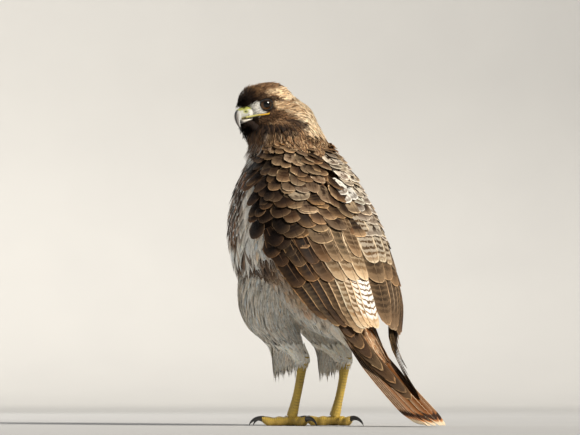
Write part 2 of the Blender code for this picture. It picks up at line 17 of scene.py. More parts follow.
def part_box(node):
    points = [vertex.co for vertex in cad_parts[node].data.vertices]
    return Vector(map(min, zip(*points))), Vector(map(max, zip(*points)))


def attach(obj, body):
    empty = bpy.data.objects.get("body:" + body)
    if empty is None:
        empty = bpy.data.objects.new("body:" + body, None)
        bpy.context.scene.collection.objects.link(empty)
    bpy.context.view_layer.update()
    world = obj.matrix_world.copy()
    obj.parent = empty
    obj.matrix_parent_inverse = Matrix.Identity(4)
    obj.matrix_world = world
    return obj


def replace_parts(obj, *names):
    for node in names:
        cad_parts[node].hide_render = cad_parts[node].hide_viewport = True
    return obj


MM = 0.001
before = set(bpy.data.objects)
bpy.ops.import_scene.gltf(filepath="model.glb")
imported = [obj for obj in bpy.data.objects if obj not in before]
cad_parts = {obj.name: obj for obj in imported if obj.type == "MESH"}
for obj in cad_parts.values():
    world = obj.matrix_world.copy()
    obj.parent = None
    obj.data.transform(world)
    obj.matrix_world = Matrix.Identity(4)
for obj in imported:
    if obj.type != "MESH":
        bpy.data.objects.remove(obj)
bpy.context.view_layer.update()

# The camera: the photo's direction, and the millimetres that its width shows at the hawk
CAMERA_AZIMUTH = 135
CAMERA_ELEVATION = -4
CAMERA_DISTANCE = 3200
VIEW_WIDTH = 725
AIM = (24.75, -24.75, 259.4)

# The head's frame, as the solids have it
EYE_LINE = (35.2, -75.2, 403.2)
HEAD_TURN = 87
HEAD_DIP = 12
HEAD = (
    (18.5, 10, 2, -13),
    (16.5, 14.5, 8, -20),
    (11, 19.5, 16, -31),
    (3, 24, 23, -41),
    (-6, 27, 26.5, -45),
    (-17, 31, 28, -45),
    (-29, 33.5, 27.5, -42),
    (-41, 32, 22, -40),
    (-52, 25, 12, -32),
    (-59, 13, 1, -19),
)
HEAD_FULLNESS = 2.2
EYE_OUT = 17.4
EYE_RADIUS = 9.6
EYE_LOOKS = (0.5, 0.87)
LID_OPENING = (8.0, 6.3)

# Bill: (ahead, half width, top, bottom) of the cere, then ridge, edge and widths of the hooked upper bill
CERE = ((15, 11.5, 0.8, -12.0), (20, 10.8, 1.2, -12.6), (24, 9.4, 0.8, -12.8), (27.5, 7.8, -0.2, -12.8))
CERE_LIP = ((27.5, 7.8, 0.1, -12.9), (30.0, 7.15, -0.4, -12.9), (32.4, 6.55, -1.2, -12.7))
NOSTRIL = (26.0, -4.6)
BILL_RIDGE = ((27.8, -0.4), (32.2, -1.2), (35.6, -4.6), (37.0, -10.0), (36.2, -17.0), (34.4, -21.4), (32.2, -24.6))
BILL_EDGE = ((27.8, -12.6), (30.0, -13.0), (31.8, -13.8), (32.6, -15.6), (32.6, -18.4), (32.0, -21.6), (31.4, -24.6))
BILL_HALF_WIDTHS = ((7.4,), (6.7,), (5.7,), (4.6,), (3.2,), (1.9,), (0.5,))
LOWER_BILL = (
    (14, -15.0, 8.6, 2.3),
    (20, -15.4, 8.2, 2.4),
    (25, -16.0, 7.0, 2.5),
    (29, -16.5, 5.2, 2.3),
    (31.2, -16.7, 2.6, 1.4),
)

# Wing edges from the shoulder to the tip of the longest primary, and the arch between them
WING_FRONT = (
    (46, -56, 336),
    (74, -44, 300),
    (90, -22, 260),
    (95, 4, 224),
    (92, 36, 184),
    (80, 68, 146),
    (46, 99, 90),
    (19, 168, 30),
)
WING_BACK = (
    (20, -16, 349),
    (8, 10, 324),
    (4, 35, 289),
    (4.5, 56, 250),
    (6, 76, 210),
    (7, 92, 166),
    (8, 114, 108),
    (9, 172, 42),
)
WING_BULGE = ((14,), (19,), (22,), (22,), (18,), (12,), (5,), (1,))
WING_CORE_END = 0.60
WING_CORE_RISE = 9.0

TAIL_ROOT = (50, 134)
TAIL_BEND = (108, 66)
TAIL_TIP = (200, -1.6)

THIGH = (
    (34, -22, 232, 24, 38),
    (42, -38, 204, 33, 46),
    (45, -41, 174, 34, 45),
    (45, -41, 146, 31, 42),
    (44, -34, 121, 26, 35),
    (41, -17, 101, 17, 25),
    (38.5, 2, 87, 10, 13),
    (38, 8, 79, 7.5, 8.5),
)
ANKLE = (38, 12, 86)
FOOT_ROOT = (38, -8, 12)
SHANK_RADII = ((7.4,), (5.6,), (5.0,), (5.2,), (6.6,))
TOES = {
    "inner": (-34, 36, 6.0, 15.5),
    "middle": (4, 47, 6.0, 14.5),
    "outer": (44, 37, 5.4, 13.5),
    "hind": (176, 27, 6.2, 16.5),
}
CLAW_THICK = 3.5

# Plumage colours, linear
DARK = (0.040, 0.021, 0.012)
BROWN = (0.100, 0.051, 0.025)
WARM = (0.185, 0.098, 0.047)
TAN = (0.36, 0.215, 0.108)
GOLD = (0.56, 0.335, 0.155)
BUFF = (0.68, 0.48, 0.285)
CREAM = (0.82, 0.68, 0.48)
WHITE = (0.84, 0.82, 0.77)
PALEST = (0.95, 0.92, 0.85)
GREY_WHITE = (0.60, 0.58, 0.54)
RUFOUS = (0.46, 0.155, 0.036)
CINNAMON = (0.27, 0.115, 0.045)
BLACKISH = (0.016, 0.010, 0.008)


# Curves and small helpers


def spline(points, share):
    """Points at shares 0 to 1 of a smooth curve through the given points, for one share or an array."""
    fixed = np.asarray(points, float)
    last = len(fixed) - 1
    place = np.clip(np.asarray(share, float), 0, 1) * last
    start = np.minimum(place.astype(int), last - 1)
    t = (place - start)[..., None]
    a = fixed[np.maximum(start - 1, 0)]
    b = fixed[start]
    c = fixed[start + 1]
    d = fixed[np.minimum(start + 2, last)]
    return 0.5 * (2 * b + (c - a) * t + (2 * a - 5 * b + 4 * c - d) * t ** 2 + (3 * b - a - 3 * c + d) * t ** 3)


def unit(v):
    return v / np.maximum(np.linalg.norm(v, axis=-1, keepdims=True), 1e-9)


def dot(a, b):
    return np.sum(a * b, axis=-1)


def mix(a, b, share):
    share = np.asarray(share, float)[..., None]
    return np.asarray(a, float) * (1 - share) + np.asarray(b, float) * share


def ramp(value, low, high):
    """0 below low, 1 above high, smooth between them. Low may lie above high."""
    t = np.clip((value - low) / (high - low), 0, 1)
    return t * t * (3 - 2 * t)


def noise(points, size, seed=0):
    """Smooth values between 0 and 1 that vary over the given size."""
    p = np.asarray(points, float) / size + seed * 17.31
    x, y, z = p[..., 0], p[..., 1], p[..., 2]
    a = np.sin(1.7 * x + 1.3 * np.sin(1.1 * y + 0.7 * z)) + np.sin(1.9 * y + 1.7 * np.sin(1.3 * z + 0.5 * x))
    b = np.sin(1.6 * z + 1.5 * np.sin(1.2 * x - 0.9 * y)) + np.sin(2.9 * x - 2.3 * y + 2.7 * z)
    return 0.5 + (a + b) / 8


def head_axes():
    turn = math.radians(HEAD_TURN)
    dip = math.radians(HEAD_DIP)
    level = Vector((math.sin(turn), -math.cos(turn), 0))
    left = Vector((0, 0, 1)).cross(level)
    ahead = level * math.cos(dip) - Vector((0, 0, 1)) * math.sin(dip)
    return np.array(ahead), np.array(left), np.array(ahead.cross(left))


AHEAD, LEFT, UP = head_axes()


def head_point(ahead, left, up):
    return np.array(EYE_LINE) + AHEAD * ahead + LEFT * left + UP * up


def in_head(points):
    """How far ahead of the eyes, to the left and up each point is, in the head's frame."""
    rel = points - np.array(EYE_LINE)
    return dot(rel, AHEAD), dot(rel, LEFT), dot(rel, UP)


def row_shift():
    """From the hawk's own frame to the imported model's, in millimetres, found from the left eye."""
    low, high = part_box("eye_left")
    return np.array((low + high) / 2) / MM - head_point(0, EYE_OUT, 0)


SHIFT = row_shift()


def to_row(points):
    return (np.asarray(points, float) + SHIFT) * MM


def to_hawk(points):
    return np.asarray(points, float) / MM - SHIFT


def on_cheek(ahead, side, up, out):
    """A point that stands out beyond the side of the head."""
    for front, back in zip(HEAD, HEAD[1:]):
        if ahead >= back[0]:
            break
    share = min(max((front[0] - ahead) / (front[0] - back[0]), 0), 1)
    half_width, top, bottom = (front[i] + (back[i] - front[i]) * share for i in (1, 2, 3))
    level = min(abs(up / (top if up > 0 else bottom)), 0.98)
    width = half_width * (1 - level ** HEAD_FULLNESS) ** (1 / HEAD_FULLNESS)
    return head_point(ahead, side * (width + out), up)


# Meshes


def add_object(name, mesh):
    made = bpy.data.objects.new(name, mesh)
    bpy.context.scene.collection.objects.link(made)
    return made


def make_piece(name, points, faces, material, colours=None, smooth=True):
    """A mesh in the row's frame that rides on the hawk and takes its finish from a slot."""
    mesh = bpy.data.meshes.new(name)
    mesh.from_pydata(to_row(points).tolist(), [], faces if isinstance(faces, list) else faces.tolist())
    mesh.update()
    if smooth:
        mesh.shade_smooth()
    if colours is not None:
        paint(mesh, "tint", colours)
    mesh.materials.append(material)
    piece = add_object(name, mesh)
    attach(piece, "root")
    return piece


def paint(mesh, name, colours):
    """Stores one colour for each corner point of the mesh."""
    layer = mesh.attributes.new(name, "FLOAT_COLOR", "POINT")
    full = np.ones((len(mesh.vertices), 4))
    full[:, : colours.shape[1]] = colours
    layer.data.foreach_set("color", full.astype(np.float32).ravel())


def set_uv(mesh, name, places):
    """Stores a UV place for each corner point of the mesh."""
    layer = mesh.uv_layers.new(name=name)
    corners = np.zeros(len(mesh.loops), np.int32)
    mesh.loops.foreach_get("vertex_index", corners)
    layer.uv.foreach_set("vector", places[corners].astype(np.float32).ravel())


def tube_grid(path, across, up, widths, heights, sides, fullness=2.0, closed_ends=True):
    """Rings of an oval section along a path, as points and faces. Half sizes go with across and up."""
    angles = np.linspace(0, math.tau, sides, endpoint=False)
    c, s = np.cos(angles), np.sin(angles)
    x = np.sign(s) * np.abs(s) ** (2 / fullness)
    z = np.sign(c) * np.abs(c) ** (2 / fullness)
    rings = (
        path[:, None, :]
        + across[:, None, :] * (x[None, :, None] * widths[:, None, None])
        + up[:, None, :] * (z[None, :, None] * heights[:, None, None])
    )
    count = len(path)
    points = rings.reshape(-1, 3)
    faces = []
    for i in range(count - 1):
        for j in range(sides):
            k = (j + 1) % sides
            faces.append([i * sides + j, i * sides + k, (i + 1) * sides + k, (i + 1) * sides + j])
    if closed_ends:
        faces.append(list(range(sides))[::-1])
        faces.append([(count - 1) * sides + j for j in range(sides)])
    return points, faces


def frames_along(path, start_up):
    """Across and up directions for each point of a path, turned as little as possible."""
    along = unit(np.gradient(path, axis=0))
    ups = []
    up = np.asarray(start_up, float)
    for way in along:
        up = unit(up - way * dot(up, way))
        ups.append(up)
    ups = np.array(ups)
    return np.cross(along, ups), ups


# The wing's own surface


def wing_sheet(u, v):
    front = spline(WING_FRONT, u)
    back = spline(WING_BACK, u)
    chord = back - front
    out = unit(np.cross(np.array((0, 0.62, -0.78)), chord))
    bulge = spline(WING_BULGE, u)
    return front + chord * v[..., None] + out * bulge * (4 * v * (1 - v))[..., None]


def wing_surface(u, v):
    """Points on the left wing's surface and the way out of it. Coordinate u runs from shoulder to tip, v to the back."""
    u, v = np.broadcast_arrays(np.asarray(u, float), np.asarray(v, float))
    step = 0.01
    along = wing_sheet(np.minimum(u + step, 1), v) - wing_sheet(np.maximum(u - step, 0), v)
    over = wing_sheet(u, v + step) - wing_sheet(u, v - step)
    return wing_sheet(u, v), unit(np.cross(along, over))


def wing_width(u):
    return np.linalg.norm(spline(WING_BACK, u) - spline(WING_FRONT, u), axis=-1)


def core_height(u):
    return WING_CORE_RISE * np.maximum(1 - np.asarray(u, float) / WING_CORE_END, 0)


def tail_curve(share):
    """Points of the tail's curve in the middle plane and the upward way."""
    a, b, c = (np.array((0, *p), float) for p in (TAIL_ROOT, TAIL_BEND, TAIL_TIP))
    t = np.asarray(share, float)[..., None]
    point = a * (1 - t) ** 2 + b * 2 * t * (1 - t) + c * t ** 2
    along = unit((b - a) * (1 - t) + (c - b) * t)
    return point, np.cross(np.array((1.0, 0, 0)), along)


# Skin


def loft(rings):
    """Points and faces of a closed form through rings that all have as many points."""
    points = np.concatenate(rings)
    sides = len(rings[0])
    faces = []
    for i in range(len(rings) - 1):
        for j in range(sides):
            k = (j + 1) % sides
            faces.append([i * sides + j, i * sides + k, (i + 1) * sides + k, (i + 1) * sides + j])
    faces.append(list(range(sides))[::-1])
    faces.append([(len(rings) - 1) * sides + j for j in range(sides)])
    return points, faces


def ellipse(centre, across, up, half_width, top, bottom, sides=32, fullness=2.0):
    angles = np.linspace(0, math.tau, sides, endpoint=False)
    c, s = np.cos(angles), np.sin(angles)
    x = np.sign(s) * np.abs(s) ** (2 / fullness) * half_width
    z = np.sign(c) * np.abs(c) ** (2 / fullness) * np.where(c > 0, top, bottom)
    return np.asarray(centre, float) + np.outer(x, across) + np.outer(z, up)


def mirror(points):
    return points * np.array((-1.0, 1.0, 1.0))


def arm_form():
    """The folded arm's flesh under the left wing's feathers."""
    rings = []
    across = np.linspace(0, 1, 13)
    for share in np.linspace(0, 1, 16):
        u = 0.03 + (WING_CORE_END - 0.05) * share
        edge = 1 - (2 * across - 1) ** 6
        top = core_height(u) - 3.0
        place, out = wing_surface(np.full(13, u), across)
        outer = place + out * (top * edge - 4.0 * (1 - edge))[:, None]
        inside = np.clip(across, 0.04, 0.96)
        place, out = wing_surface(np.full(13, u), inside)
        inner = place - out * (24 * (1 - 0.7 * share) * (0.3 + 0.7 * edge))[:, None]
        rings.append(np.concatenate((outer, inner[::-1])))
    return loft(rings)


def thigh_form():
    rings = []
    for share in np.linspace(0, 1, 24):
        x, y, z, half_width, half_depth = spline(THIGH, share)
        thinner = 4.0 * ramp(share, 1.0, 0.6)
        rings.append(
            ellipse((x, y, z), (1, 0, 0), (0, 1, 0), half_width - thinner, half_depth - thinner, half_depth - thinner)
        )
    return loft(rings)


def rump_form():
    rings = []
    stations = ((0.0, 30, 22, 28), (0.12, 28, 15, 22), (0.26, 24, 9, 13), (0.40, 18, 4, 6), (0.48, 10, 1.5, 2))
    for share, half_width, top, under in stations:
        point, up = tail_curve(share)
        rings.append(ellipse(point, (1, 0, 0), up, half_width, top, under))
    return loft(rings)


def skin_mesh():
    """One closed skin over the flesh: the solids' head, neck and trunk with thighs, arms and rump."""
    shape = bmesh.new()
    for name in ("torso", "neck", "head"):
        shape.from_mesh(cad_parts[name].data)
    forms = [arm_form(), rump_form(), thigh_form()]
    forms.append((mirror(forms[0][0]), forms[0][1]))
    forms.append((mirror(forms[2][0]), forms[2][1]))
    for points, faces in forms:
        corners = [shape.verts.new(p) for p in to_row(points)]
        for face in faces:
            shape.faces.new([corners[i] for i in face])
    bmesh.ops.recalc_face_normals(shape, faces=shape.faces)
    mesh = bpy.data.meshes.new("skin")
    shape.to_mesh(mesh)
    shape.free()
    body = add_object("skin", mesh)
    remesh = body.modifiers.new("one", "REMESH")
    remesh.mode = "VOXEL"
    remesh.voxel_size = 1.7 * MM
    smooth = body.modifiers.new("soft", "SMOOTH")
    smooth.factor = 0.5
    smooth.iterations = 3
    graph = bpy.context.evaluated_depsgraph_get()
    body.data = bpy.data.meshes.new_from_object(body.evaluated_get(graph))
    body.modifiers.clear()
    body.data.name = "skin"
    inset(body.data)
    return body


def points_of(mesh):
    co = np.zeros(len(mesh.vertices) * 3, np.float32)
    mesh.vertices.foreach_get("co", co)
    return co.reshape(-1, 3).astype(float)


def normals_of(mesh):
    found = np.zeros(len(mesh.vertices) * 3, np.float32)
    mesh.vertices.foreach_get("normal", found)
    return found.reshape(-1, 3).astype(float)


def coat_depth(points):
    """How far the skin lies under the outline: least round the eyes and bill, most on the trunk."""
    ahead, left, up = in_head(points)
    face = ramp(ahead, -14, 6) * ramp(up, -30, -16)
    head = ramp(points[:, 2], 352, 372)
    occiput = ramp(ahead, -30, -44) * ramp(up, -14, 0) * head
    return mix((2.6,), (1.3,), head)[:, 0] * (1 - face) + 0.25 * face + 3.4 * occiput


def inset(mesh):
    points = to_hawk(points_of(mesh))
    moved = points - normals_of(mesh) * coat_depth(points)[:, None]
    mesh.vertices.foreach_set("co", to_row(moved).astype(np.float32).ravel())
    mesh.update()


# The plumage


class Coat:
    """Feathers in the making: centre lines, half widths and colours, all in arrays of equal length."""

    def __init__(self):
        self.lines = []
        self.outs = []
        self.widths = []
        self.tints = []
        self.edges = []
        self.marks = []
        self.places = []

    def add(self, lines, outs, widths, tints, edges, marks, places):
        count = len(lines)
        self.lines.append(lines)
        self.outs.append(outs)
        self.widths.append(np.broadcast_to(widths, (count,)))
        self.tints.append(np.broadcast_to(tints, (count, 3)))
        self.edges.append(np.broadcast_to(edges, (count, 3)))
        self.marks.append(np.broadcast_to(marks, (count, 4)))
        self.places.append(np.broadcast_to(places, (count, 2)))

    def arrays(self):
        parts = (self.lines, self.outs, self.widths, self.tints, self.edges, self.marks, self.places)
        return [np.concatenate(part) for part in parts]


VANE = {"columns": 7, "rows": 9, "round": 0.30, "camber": 0.12, "roll": 0.0, "blunt": 0.62, "base": 0.5, "ragged": 0.02}


def build_coat(name, coat, material, slot, seed, patch=0.003, **shape):
    """Turns a coat's centre lines into one mesh of thin curved vanes with their UVs and colours."""
    form = {**VANE, **shape}
    draw = np.random.default_rng(seed)
    lines, outs, widths, tints, edges, marks, places = coat.arrays()
    count, stations = lines.shape[:2]
    columns, rows = form["columns"], form["rows"]
    x = np.sin(np.linspace(-1, 1, columns) * math.pi / 2)
    s = 1 - (1 - np.linspace(0, 1, rows)) ** 1.35
    reach = 1 - form["round"] * (1 - np.sqrt(np.maximum(1 - x ** 2, 0)))
    reach = reach[None, :] * (1 - form["ragged"] * draw.random((count, columns)) * 2)
    share = s[None, :, None] * reach[:, None, :]
    place = share * (stations - 1)
    low = np.minimum(place.astype(int), stations - 2)
    t = (place - low)[..., None]
    which = np.arange(count)[:, None, None]
    centre = lines[which, low] * (1 - t) + lines[which, low + 1] * t
    out = unit(outs[which, low] * (1 - t) + outs[which, low + 1] * t)
    along = unit(lines[which, low + 1] - lines[which, low])
    side = unit(np.cross(along, out))
    body = form["base"] + (1 - form["base"]) * np.minimum(s / 0.45, 1)
    tip = np.clip((s - form["blunt"]) / (1 - form["blunt"]), 0, 1)
    profile = body * (1 - (1 - form.get("tip_width", 0.45)) * tip ** 2.2)
    width = widths[:, None, None] * profile[None, :, None] * x[None, None, :]
    arch = -form["camber"] * widths[:, None, None] * (x[None, None, :] ** 2) * profile[None, :, None]
    lift = arch + form["roll"] * width
    points = centre + side * width[..., None] + out * lift[..., None]
    points = points.reshape(-1, 3)
    index = np.arange(count * rows * columns).reshape(count, rows, columns)
    quads = np.stack((index[:, :-1, :-1], index[:, :-1, 1:], index[:, 1:, 1:], index[:, 1:, :-1]), axis=-1)
    piece = make_piece(name, points, quads.reshape(-1, 4), material)
    mesh = piece.data
    size = rows * columns
    vane_uv = np.stack(np.broadcast_arrays(x * 0.5 + 0.5, s[:, None]), axis=-1)
    vane_uv = np.broadcast_to(vane_uv, (count, rows, columns, 2)).reshape(-1, 2)
    set_uv(mesh, "Vane", vane_uv)
    set_uv(mesh, "OFBake", np.repeat(places, size, axis=0) + (vane_uv - 0.5) * patch)
    paint(mesh, "tint", np.repeat(tints, size, axis=0))
    paint(mesh, "edge", np.repeat(edges, size, axis=0))
    paint(mesh, "marks", np.repeat(marks, size, axis=0))
    return piece


def vary(colours, draw, spread=0.16, warmth=0.05):
    """Each feather's colour a little lighter or darker, and a little warmer or cooler."""
    count = len(colours)
    light = np.exp(draw.normal(0, spread, (count, 1)))
    warm = draw.normal(0, warmth, (count, 1)) * np.array((1.0, 0.0, -1.0))
    return np.clip(colours * light * (1 + warm), 0.004, 0.95)


def wing_lines(starts, ends, lifts, sides, stations=8):
    """Centre lines of feathers on a wing's surface, from (u, v) to (u, v), rising from the first lift to the second."""
    share = np.linspace(0, 1, stations)[None, :]
    u = starts[:, :1] + (ends[:, :1] - starts[:, :1]) * share
    v = starts[:, 1:] + (ends[:, 1:] - starts[:, 1:]) * share
    place, out = wing_surface(u, v)
    rise = core_height(np.minimum(u, 1)) + lifts[:, :1] + (lifts[:, 1:] - lifts[:, :1]) * share
    lines = place + out * rise[..., None]
    if sides < 0:
        return mirror(lines), mirror(out)
    return lines, out


def wing_patch(u, v, side):
    """A feather root's place on the flattened wing, for the baked texture."""
    return np.stack((0.25 + side * 0.21 * (0.05 + v), 0.03 + 0.94 * u), axis=-1)


# The lie of the coat and its colours over the body


def lie_of_coat(points, normals):
    """The way that feathers point on the body: back from the bill on the head, then down the neck and trunk."""
    ahead, left, up = in_head(points)
    from_bill = unit(points - head_point(24, 0, -5))
    behind = ramp(ahead, 2, -34)
    low = ramp(up, -12, -40)
    down = np.broadcast_to(np.array((0.0, 0.0, -1.0)), points.shape)
    on_back = ramp(normals[:, 1], -0.2, 0.5)
    trunk_way = mix((0.0, 0.04, -1.0), (0.0, 0.42, -0.9), on_back)
    swept = unit(from_bill * 0.9 + np.array((0, 0, -0.25)))
    nape_way = unit(mix(-AHEAD, down, ramp(ahead, -20, -46)))
    head_way = unit(mix(swept, nape_way, behind))
    head_way = unit(mix(head_way, down, np.maximum(low * 0.75, ramp(up, -2, -50) * 0.6)))
    share = ramp(points[:, 2], 372, 340)
    way = unit(mix(head_way, trunk_way, share))
    way = way - normals * dot(way, normals)[:, None]
    return unit(way)


def surface_samples(mesh, count, draw):
    """Random points spread evenly over a mesh's triangles, with their normals."""
    mesh.calc_loop_triangles()
    corners = np.zeros(len(mesh.loop_triangles) * 3, np.int32)
    mesh.loop_triangles.foreach_get("vertices", corners)
    corners = corners.reshape(-1, 3)
    co = to_hawk(points_of(mesh))
    normals = normals_of(mesh)
    a, b, c = (co[corners[:, i]] for i in range(3))
    area = np.linalg.norm(np.cross(b - a, c - a), axis=1)
    chosen = draw.choice(len(corners), count, p=area / area.sum())
    r = np.sqrt(draw.random(count))[:, None]
    q = draw.random(count)[:, None]
    points = a[chosen] * (1 - r) + b[chosen] * (r * (1 - q)) + c[chosen] * (r * q)
    return points, unit(normals[corners[chosen, 0]] * (1 - r) + normals[corners[chosen, 1]] * r)


def spread_out(points, gaps):
    """The indices of points kept so that no two lie nearer than their gap."""
    cell = float(gaps.max())
    cells = {}
    kept = []
    keys = np.floor(points / cell).astype(int)
    around = [(i, j, k) for i in (-1, 0, 1) for j in (-1, 0, 1) for k in (-1, 0, 1)]
    for index, (point, gap, key) in enumerate(zip(points.tolist(), gaps.tolist(), keys.tolist())):
        free = True
        for i, j, k in around:
            for other in cells.get((key[0] + i, key[1] + j, key[2] + k), ()):
                near = points[other]
                dx, dy, dz = point[0] - near[0], point[1] - near[1], point[2] - near[2]
                if dx * dx + dy * dy + dz * dz < gap * gap:
                    free = False
                    break
            if not free:
                break
        if free:
            cells.setdefault(tuple(key), []).append(index)
            kept.append(index)
    return np.array(kept, int)


class Body:
    """The skin's surface, for setting feathers on it."""

    def __init__(self, mesh):
        self.mesh = mesh
        self.points = to_hawk(points_of(mesh))
        self.normals = normals_of(mesh)
        polygons = [tuple(face.vertices) for face in mesh.polygons]
        self.tree = BVHTree.FromPolygons([tuple(p) for p in self.points.tolist()], polygons)
        self.wings = self.wing_shields()

    def wing_shields(self):
        """The outlines of the wings' lower faces, which hide the body under them."""
        u, v = np.meshgrid(np.linspace(0.02, 0.92, 30), np.linspace(0.01, 0.98, 9), indexing="ij")
        place, out = wing_surface(u, v)
        trees = []
        index = np.arange(30 * 9).reshape(30, 9)
        quads = np.stack((index[:-1, :-1], index[:-1, 1:], index[1:, 1:], index[1:, :-1]), axis=-1).reshape(-1, 4)
        for points in (place.reshape(-1, 3), mirror(place.reshape(-1, 3))):
            trees.append(BVHTree.FromPolygons(points.tolist(), quads.tolist()))
        return trees

    def on_arm(self, points, reach=11.0):
        """1 where the skin lies close under a wing's surface, 0 away from it."""
        share = np.zeros(len(points))
        for tree in self.wings:
            for i, point in enumerate(points.tolist()):
                hit = tree.find_nearest(Vector(point), reach)
                if hit[0] is not None:
                    share[i] = 1
        return share

    def clear_of_wings(self, lines, near=8.5):
        """Which feathers keep away from the wings' surfaces, so that none pokes through them."""
        clear = np.ones(len(lines), bool)
        for tree in self.wings:
            for i, line in enumerate(lines[:, 1:].tolist()):
                for point in line:
                    place, normal, _, far = tree.find_nearest(Vector(point), near)
                    if place is not None and far > 0 and abs((Vector(point) - place).normalized().dot(normal)) > 0.9:
                        clear[i] = False
                        break
        return clear

    def hidden(self, point, normal):
        start = Vector(point)
        for tree in self.wings:
            hit = tree.ray_cast(start, Vector(normal), 60)
            if hit[0] is not None:
                return True
        return False

    def lines(self, roots, lengths, lifts, stations=5, spin=None, droop=0.0, way_of=lie_of_coat):
        """Centre lines that follow the skin from their roots along the coat's lie, and rise off it."""
        count = len(roots)
        here = roots.copy()
        path = np.zeros((count, stations, 3))
        outs = np.zeros((count, stations, 3))
        step = lengths / (stations - 1)
        for i in range(stations):
            found = [self.tree.find_nearest(Vector(p)) for p in here.tolist()]
            on_skin = np.array([hit[0] for hit in found])
            normals = unit(np.array([hit[1] for hit in found]))
            share = i / (stations - 1)
            path[:, i] = on_skin + normals * (lifts[:, 0] + (lifts[:, 1] - lifts[:, 0]) * share ** 0.8)[:, None]
            outs[:, i] = normals
            way = way_of(on_skin, normals)
            if spin is not None:
                way = unit(way + np.cross(normals, way) * spin[:, None])
            here = on_skin + way * step[:, None] + np.array((0, 0, -droop)) * step[:, None]
        return smooth_lines(path), unit(smooth_lines(outs))


def smooth_lines(path):
    softer = path.copy()
    softer[:, 1:-1] = 0.5 * path[:, 1:-1] + 0.25 * (path[:, :-2] + path[:, 2:])
    return softer


def body_patch(points, name):
    """A root's place on an unwrap round the body's own axis: the turn round it and the way along it."""
    if name == "head":
        ahead, left, up = in_head(points)
        turn = np.arctan2(left, up + 8)
        along = 0.5 - ahead / 110
    else:
        turn = np.arctan2(points[:, 0], -(points[:, 1] + 20))
        along = points[:, 2] / 460
    return np.stack((0.5 + turn / math.tau * 0.96, np.clip(along, 0.01, 0.99)), axis=-1)


def spot(ahead, up, middle, size, lean=0.0):
    """How strongly a marking at a place on the head's side shows: 1 inside its oval, 0 well outside."""
    across = (ahead - middle[0]) / size[0]
    height = (up - middle[1] - lean * (ahead - middle[0])) / size[1]
    return ramp(np.sqrt(across ** 2 + height ** 2), 1.25, 0.75)


def head_colours(points, draw):
    """Centre and edge colours of the feathers on the head and upper neck."""
    ahead, left, up = in_head(points)
    side = np.abs(left)
    streak = draw.random(len(points))
    pale = ramp(streak, 0.35, 0.75)
    outside = ramp(side, 7, 13)
    tint = mix(DARK, BROWN, streak)
    edge = mix(WARM, GOLD, streak)

    def lay(share, centre, rim):
        nonlocal tint, edge
        tint = mix(tint, centre, share)
        edge = mix(edge, rim, share)

    golden = ramp(ahead, -12, -25) * ramp(up, 26, 17) * (0.5 + 0.5 * ramp(side, 4, 13))
    lay(golden, mix(BROWN, mix(GOLD, CREAM, 0.6), ramp(streak, 0.1, 0.3)), mix(GOLD, CREAM, ramp(streak, 0.1, 0.5)))
    crown = ramp(up, 14, 19)
    lay(crown * 0.9, mix(BROWN, WARM, streak), mix(WARM, GOLD, ramp(streak, 0.2, 0.7)))
    # Painted shade, partly real: the crown's front is darker, from its own colour and from the shade on the head's
    # front.
    front = ramp(ahead, 0, 12) * crown
    lay(front * 0.7, mix(DARK, BROWN, streak), mix(BROWN, WARM, pale))
    stripe = spot(ahead, up, (-20, 12.5), (22, 6.2), 0.02) * outside * ramp(ahead, 2, -6)
    lay(stripe * 0.85, mix(TAN, BUFF, ramp(streak, 0.1, 0.6)), mix(GOLD, CREAM, ramp(streak, 0.0, 0.7)))
    line = ramp(np.abs(up - 7.4 - 0.30 * ahead), 2.2, 0.9) * ramp(ahead, -9, -12) * ramp(ahead, -34, -24) * outside
    lay(line * 0.85, mix(DARK, BROWN, streak), mix(BROWN, WARM, streak))
    wedge = spot(ahead, up, (-15.5, -4.0), (9.0, 5.2), 0.35) * outside
    lay(wedge, mix(TAN, BUFF, ramp(streak, 0.0, 0.6)), mix(BUFF, CREAM, ramp(streak, 0.0, 0.6)))
    ear = spot(ahead, up, (-27, -8), (11, 8), 0.4) * outside
    lay(ear * 0.6, mix(WARM, TAN, streak), mix(TAN, GOLD, streak))
    malar = spot(ahead, up, (-16, -31), (13, 7), 0.3) * outside
    lay(malar * 0.9, mix(BLACKISH, DARK, streak), mix(DARK, WARM, pale))
    gape_line = spot(ahead, up, (2, -16.0), (14, 2.2)) * outside
    lay(gape_line * 0.7, mix(DARK, BROWN, streak), mix(BROWN, WARM, streak))
    jaw = spot(ahead, up, (-15, -19), (12, 5), 0.3) * outside
    lay(jaw * 0.6, mix(BROWN, WARM, streak), mix(WARM, TAN, pale))
    cheek = spot(ahead, up, (3, -24), (9, 7), 0.2) * outside
    lay(cheek * 0.9, mix(BROWN, WARM, streak), mix(TAN, BUFF, ramp(streak, 0.3, 0.9)))
    throat = np.maximum(ramp(up, -24, -33) * ramp(ahead, -12, 4), ramp(up, -13, -18) * ramp(ahead, 10, 15))
    lay(throat * (1 - 0.5 * cheek), mix(BLACKISH, DARK, streak * 0.4), mix(BLACKISH, BROWN, pale))
    lore = ramp(ahead, 2, 7) * ramp(up, 6.5, 4.0) * ramp(up, -14, -11) * ramp(side, 4, 8)
    lay(lore, mix(WHITE, PALEST, streak), PALEST)
    # Painted shade, partly real: the forehead and the bridge above the cere go near black, their own dark brown
    # darkened as shade on the head's front.
    forehead = ramp(ahead, 5, 11) * ramp(up, 3.5, 6)
    lay(forehead, mix(BLACKISH, BROWN, streak * 0.7), mix(DARK, WARM, pale * 0.7))
    bridge_dark_and_painted_shade = ramp(ahead, 10, 16) * ramp(up, 1, 4)
    lay(bridge_dark_and_painted_shade, mix(BLACKISH, DARK, streak), mix(BLACKISH, DARK, pale))
    return tint, edge


# Where the band across the belly has its largest dark blotches: middle and half size
BELLY_BLOTCHES = (
    ((60.0, -86.0, 190.0), (15.0, 15.0, 9.0)),
    ((79.0, -24.0, 189.0), (14.0, 14.0, 8.0)),
    ((72.0, -62.0, 226.0), (12.0, 14.0, 8.0)),
)


